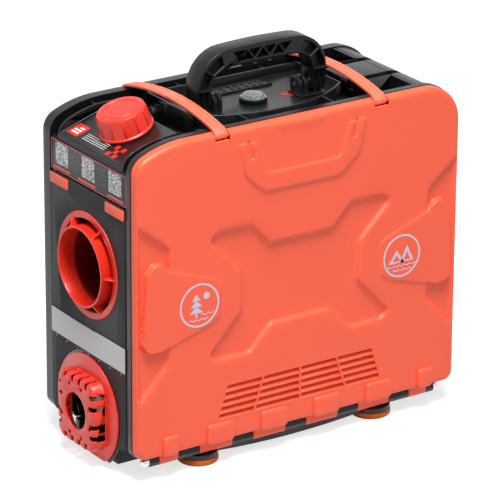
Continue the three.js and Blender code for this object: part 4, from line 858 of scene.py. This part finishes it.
def slats():
    """The sloping blade of each louvre cell."""
    spots, faces = [], []
    for low, high, ((a0, a1), (b0, b1)) in louvre_cells():
        first = len(spots)
        t = (high - 1.7 - low) / (high - low)
        c0, c1 = a0 + (b0 - a0) * t, a1 + (b1 - a1) * t
        for y, z, x0, x1 in ((-96.9, low - 0.05, a0, a1), (-92.0, high - 1.7, c0, c1),
                             (-91.2, high - 1.9, c0, c1), (-91.2, low - 0.05, a0, a1)):
            spots += [(x0 - 0.02, y, z), (x1 + 0.02, y, z)]
        for k in range(4):
            m = (k + 1) % 4
            faces.append((first + 2 * k, first + 2 * k + 1, first + 2 * m + 1, first + 2 * m))
        faces += [tuple(first + 2 * k for k in (3, 2, 1, 0)), tuple(first + 2 * k + 1 for k in range(4))]
    obj = mesh_object("slats", spots, faces)
    outward(obj)
    return edged(obj, 0.35)


def make_covers():
    shell = cover_solid()
    rear = copy_mirrored_y(shell, "rear_cover_shell")
    piece(shell, "front_cover_shell", "front_cover", "red", ["front_cover"], angle=38)
    piece(rear, "rear_cover_shell", "rear_cover", "black", ["rear_cover"], angle=38)
    # dark sheets with painted shade in the louvre gaps: dark red on the front cover, black rubber on the
    # rear
    slit_shade_sheets = painted_slit_shades()
    rear_slit_shade_sheets = copy_mirrored_y(slit_shade_sheets, "rear_cover_slit_shade")
    piece(slit_shade_sheets, "front_cover_slit_shade", "front_cover", "painted_slit_shade")
    piece(rear_slit_shade_sheets, "rear_cover_slit_shade", "rear_cover", "rubber")


make_covers()


# ---- straps, feet, cap, collar --------------------------------------------------------------
STRAP_HALF = 7.5
STRAP_THICK = 3
STRAP_TOP = 397
STRAP_ARC = 350                     # radius of the arch over the case
LAP_ENDS = (3.857, -4.714)          # Y where the top and the underside of a front half end


def strap_height(y):
    return STRAP_TOP - STRAP_ARC + math.sqrt(STRAP_ARC ** 2 - y * y)


def strap_half(top_end, under_end):
    """Half a strap as on the front: a hook on its pin, and an arch with two grooves."""
    pin_y, pin_z = TRUNNION
    outline = [(y, strap_height(y)) for y in np.linspace(top_end, -88.2, 28)]
    outline.append((pin_y - 3, pin_z + 3))
    for k in range(9):
        angle = math.pi * (1 + k / 8)
        outline.append((pin_y + 3 * math.cos(angle), pin_z + 3 * math.sin(angle)))
    outline += [(y, strap_height(y) - STRAP_THICK) for y in np.linspace(-86.2, under_end, 28)]
    band = edged(prism("x", outline, -STRAP_HALF, STRAP_HALF), 0.7)
    pin = rod(2.2, (-10.7, pin_y, pin_z), (10.7, pin_y, pin_z), 24)
    groove = [(y, strap_height(y) + 0.02) for y in np.linspace(top_end - 6, -84, 24)]
    groove += [(y, strap_height(y) - 0.5) for y, _ in reversed(groove)]
    for x0, x1 in ((-4.4, -3.2), (3.2, 4.4)):
        boolean(band, [prism("x", groove, x0, x1)])
    return joined_meshes([band, pin])


def strap_piece(obj, body):
    piece(obj, body + "_band", body, "strap", [body])


def make_straps():
    top_end, under_end = LAP_ENDS
    for side, x in (("left", -STRAP_X), ("right", STRAP_X)):
        front = transformed(strap_half(top_end, under_end), Matrix(), (x, 0, 0))
        strap_piece(front, "strap_front_" + side)
        pattern = transformed(strap_half(under_end, top_end), Matrix(), (x, 0, 0))
        rear = copy_mirrored_y(pattern, "rear")
        bpy.data.objects.remove(pattern)
        strap_piece(rear, "strap_rear_" + side)


FOOT_X = 115.5
FOOT_Y = 68
FOOT_PROFILE = [(0, 0), (20.5, 0), (21.6, 0.3), (22.6, 1.2), (23, 2.2), (23, 5.6), (22.7, 6.5), (21.9, 7),
                (3.7, 7), (3.7, 8), (0, 8)]


def make_feet():
    for where, y in (("front", -FOOT_Y), ("rear", FOOT_Y)):
        for side, x in (("left", -FOOT_X), ("right", FOOT_X)):
            name = "foot_pad_" + where + "_" + side
            piece(turned(FOOT_PROFILE, (x, y, 0), (0, 0, 1), 80), name + "_round", "heater_body", "orange",
                  [name])


DECK_TILT = math.radians(18)
CAP_FOOT = (-162, 0, 370)           # where the cap's axis meets the filler deck
CAP_PROFILE = [(22.6, 0.6), (30.2, 0.6), (30.5, 1.0), (30.5, 2.3), (30.1, 2.8), (29.0, 3.6), (28.5, 5),
               (26.9, 22.6), (26.3, 24.2), (25.0, 25), (20.4, 25), (20.1, 24.7), (19.7, 24.2), (18.3, 24.2),
               (17.9, 24.7), (17.6, 25), (0, 25), (0, 16.6), (22.6, 16.6)]
CAP_RIBS = 12
CAP_TAPER = 0.09


def fuel_cap():
    """The filler cap with ribs that follow the taper of its side."""
    parts = [turned(CAP_PROFILE, (0, 0, 0), (0, 0, 1), 96)]
    lean_in = Matrix.Identity(4)
    lean_in[0][2] = -CAP_TAPER
    for k in range(CAP_RIBS):
        rib = edged(box(24.8, 29.4, -0.95, 0.95, 4.4, 23), 0.5)
        turn = Matrix.Rotation(2 * math.pi * k / CAP_RIBS, 4, "Z")
        transformed(rib, lean_in, (5 * CAP_TAPER, 0, 0))
        parts.append(transformed(rib, turn))
    return transformed(joined_meshes(parts), Matrix.Rotation(-DECK_TILT, 4, "Y"), CAP_FOOT)


DUCT_Z = 225
PANEL_X = -209.3                    # the end panel's outer face
COLLAR_PROFILE = [(52, 0), (60, 0), (60, 2.2), (59.6, 3.0), (58.8, 3.6), (53, 3.6), (52.3, 3.3), (52, 2.6)]
SPIGOT_PROFILE = [(42.5, -9), (45, -9), (45, 12.8), (44.5, 13.4), (43.4, 13.5), (42.8, 13.2), (42.5, 12.6)]
WEB = [(-212.9, 55.5), (-220.6, 44), (-202.4, 44), (PANEL_X, 50.2), (PANEL_X, 55.5)]
WEBS = 6


def duct_collar():
    """Flange and spigot of the warm air outlet, joined by webs."""
    middle, outwards = (PANEL_X, 0, DUCT_Z), (-1, 0, 0)
    parts = [turned(profile, middle, outwards, 112) for profile in (COLLAR_PROFILE, SPIGOT_PROFILE)]
    for k in range(WEBS):
        blade = edged(prism("y", WEB, -0.9, 0.9), 0.25, 1)
        turn = Matrix.Rotation(2 * math.pi * (k + 0.5) / WEBS, 4, "X")
        parts.append(transformed(blade, turn, (0, 0, DUCT_Z)))
    return joined_meshes(parts)


make_straps()
make_feet()
piece(fuel_cap(), "fuel_cap_ribbed", "cap", "cap", ["fuel_cap"])
piece(duct_collar(), "duct_collar_round", "heater_body", "deep", ["duct_collar"])


# ---- marks and plates ----------------------------------------------------------------------
MARK_FACE = -98.22                  # Y of the print on the pods
MARK_BACK = -97.9                   # and of its back, inside the pods
BADGE_X = 133
BADGE_Z = 194.5


def flat_mark(outline):
    return prism("y", outline, MARK_FACE, MARK_BACK)


def ring_mark(x):
    """The ring round a badge."""
    thick = MARK_BACK - MARK_FACE
    return turned([(22.8, 0), (25, 0), (25, thick), (22.8, thick)], (x, MARK_FACE, BADGE_Z), (0, 1, 0), 96)


def wave(x0, x1, z):
    """A wavy line 1.1 mm thick."""
    upper = [(x, z + 0.9 * math.sin((x - x0) * 0.9)) for x in np.linspace(x0, x1, 26)]
    return flat_mark(upper + [(x, zz - 1.1) for x, zz in reversed(upper)])


def tree_mark(x, foot):
    """A fir tree, with the sun beside it."""
    found = [flat_mark([(x - half, foot + rise), (x + half, foot + rise), (x, foot + rise + 8)])
             for rise, half in ((5, 8.5), (12, 7), (19, 5.2))]
    found.append(flat_mark([(x - 1, foot), (x + 1, foot), (x + 1, foot + 5), (x - 1, foot + 5)]))
    found.append(flat_mark([(x + 13 + 4 * math.cos(a), foot + 23 + 4 * math.sin(a))
                            for a in np.linspace(0, 2 * math.pi, 28, endpoint=False)]))
    return found


def peak_mark(x, half, high):
    """An open mountain."""
    outer = [(x - half, 187), (x + half, 187), (x, 187 + high)]
    inner = [(x - half * 0.52, 188.7), (x + half * 0.52, 188.7), (x, 187 + high * 0.62)]
    return boolean(flat_mark(outer), [prism("y", inner, MARK_FACE - 0.78, MARK_BACK + 0.9)])


def badges():
    found = [ring_mark(x) for x in (-BADGE_X, BADGE_X)]
    found += tree_mark(-137, 181) + [wave(-131, -115, 184), wave(-146, -122, 178.5)]
    found += [peak_mark(126, 10.5, 15), peak_mark(140, 9, 19), wave(114, 152, 183.5), wave(121, 146, 178.5)]
    return joined_meshes(found)


LABEL_FACE = -210.05                # X of the label plate
LABEL_HALF = 75.6
LABEL_LOW = 313.8
LABEL_HIGH = 347.9
FRAME_LINE = 0.7
CODE_SIDE = 25
CODE_HEIGHT = 24
CODE_LOW = 322
TEXT_LINES = [(-36, -20, 341), (-36, -24, 336), (-36, -20, 331), (-36, -27, 326),
              (17, 34, 341), (17, 30, 336), (17, 34, 331), (17, 28, 326)]
DOT_STEP = 22
DOT_Z = 121.6


def label_mark(y0, y1, z0, z1, thick):
    """A flat mark on the label plate."""
    return prism("x", [(y0, z0), (y1, z0), (y1, z1), (y0, z1)], LABEL_FACE - thick, LABEL_FACE)


def make_label():
    """Code squares, pink bars and border, and faint lines on the plate above the end panel."""
    codes = [label_mark(y - CODE_SIDE / 2, y + CODE_SIDE / 2, CODE_LOW, CODE_LOW + CODE_HEIGHT, 0.27)
             for y in (-53.5, 0, 53.5)]
    text = [label_mark(y0, y1, z, z + 0.9, 0.23) for y0, y1, z in TEXT_LINES]
    bars = [label_mark(y0, y1, 316, 318.6, 0.25) for y0, y1 in ((-70, -39), (-15, 21), (37, 70))]
    h, low, high, line = LABEL_HALF, LABEL_LOW, LABEL_HIGH, FRAME_LINE
    bars += [label_mark(y0, y1, z0, z1, 0.25)
             for y0, y1, z0, z1 in ((-h, h, low, low + line), (-h, h, high - line, high),
                                    (-h, line - h, low, high), (h - line, h, low, high))]
    dots = [rod(0.75, (-212.3, DOT_STEP * k, DOT_Z), (-211.6, DOT_STEP * k, DOT_Z), 16)
            for k in range(-3, 4)]
    piece(joined_meshes(dots), "strip_dots", "heater_body", "white")
    piece(joined_meshes(text), "label_text", "heater_body", "faint")
    piece(joined_meshes(codes), "label_codes", "heater_body", "code")
    piece(joined_meshes(bars), "label_lines", "heater_body", "pink")


TRAY_FLOOR = 370
TRAY_STICKERS = [[(34, 3.5), (52, -8), (57, 12)], [(36, -45), (48, -44.5), (71, -34.5), (61, -29)]]
CHECK_SIDE = 6


def deck_patch(x0, x1, y0, y1, low, high):
    """A thin patch on the sloping filler deck."""
    spots = []
    for lift in (low, high):
        for x, y in ((x0, y0), (x1, y0), (x1, y1), (x0, y1)):
            spots.append((x, y, CAP_FOOT[2] + (x - CAP_FOOT[0]) * math.tan(DECK_TILT) + lift))
    faces = [(3, 2, 1, 0), (4, 5, 6, 7), (0, 1, 5, 4), (1, 2, 6, 5), (2, 3, 7, 6), (3, 0, 4, 7)]
    return mesh_object("patch", spots, faces)


def make_stickers():
    """Red square, red checks and white lines on the filler deck, and two red stickers in the tray."""
    reds = [deck_patch(-201, -183, 38, 59, -0.05, 0.18)]
    whites = [deck_patch(x, x + 2.3, 42, end, 0.1, 0.26)
              for x, end in ((-197.5, 55), (-193.5, 55), (-189.5, 50))]
    whites += [deck_patch(x, x + 0.6, -14, 30, -0.05, 0.16) for x in (-199.4, -196.6, -193.8, -191.0)]
    for i in range(3):
        for j in range(3):
            if (i + j) % 2 == 0:
                x, y = -203.5 + i * CHECK_SIDE, -40 + j * CHECK_SIDE
                reds.append(deck_patch(x, x + CHECK_SIDE, y, y + CHECK_SIDE, -0.05, 0.18))
    reds += [prism("z", outline, TRAY_FLOOR - 0.1, TRAY_FLOOR + 0.25) for outline in TRAY_STICKERS]
    piece(joined_meshes(reds), "deck_stickers", "heater_body", "sticker")
    piece(joined_meshes(whites), "deck_lines", "heater_body", "white")


piece(badges(), "front_cover_badges", "front_cover", "badge")
make_label()
make_stickers()
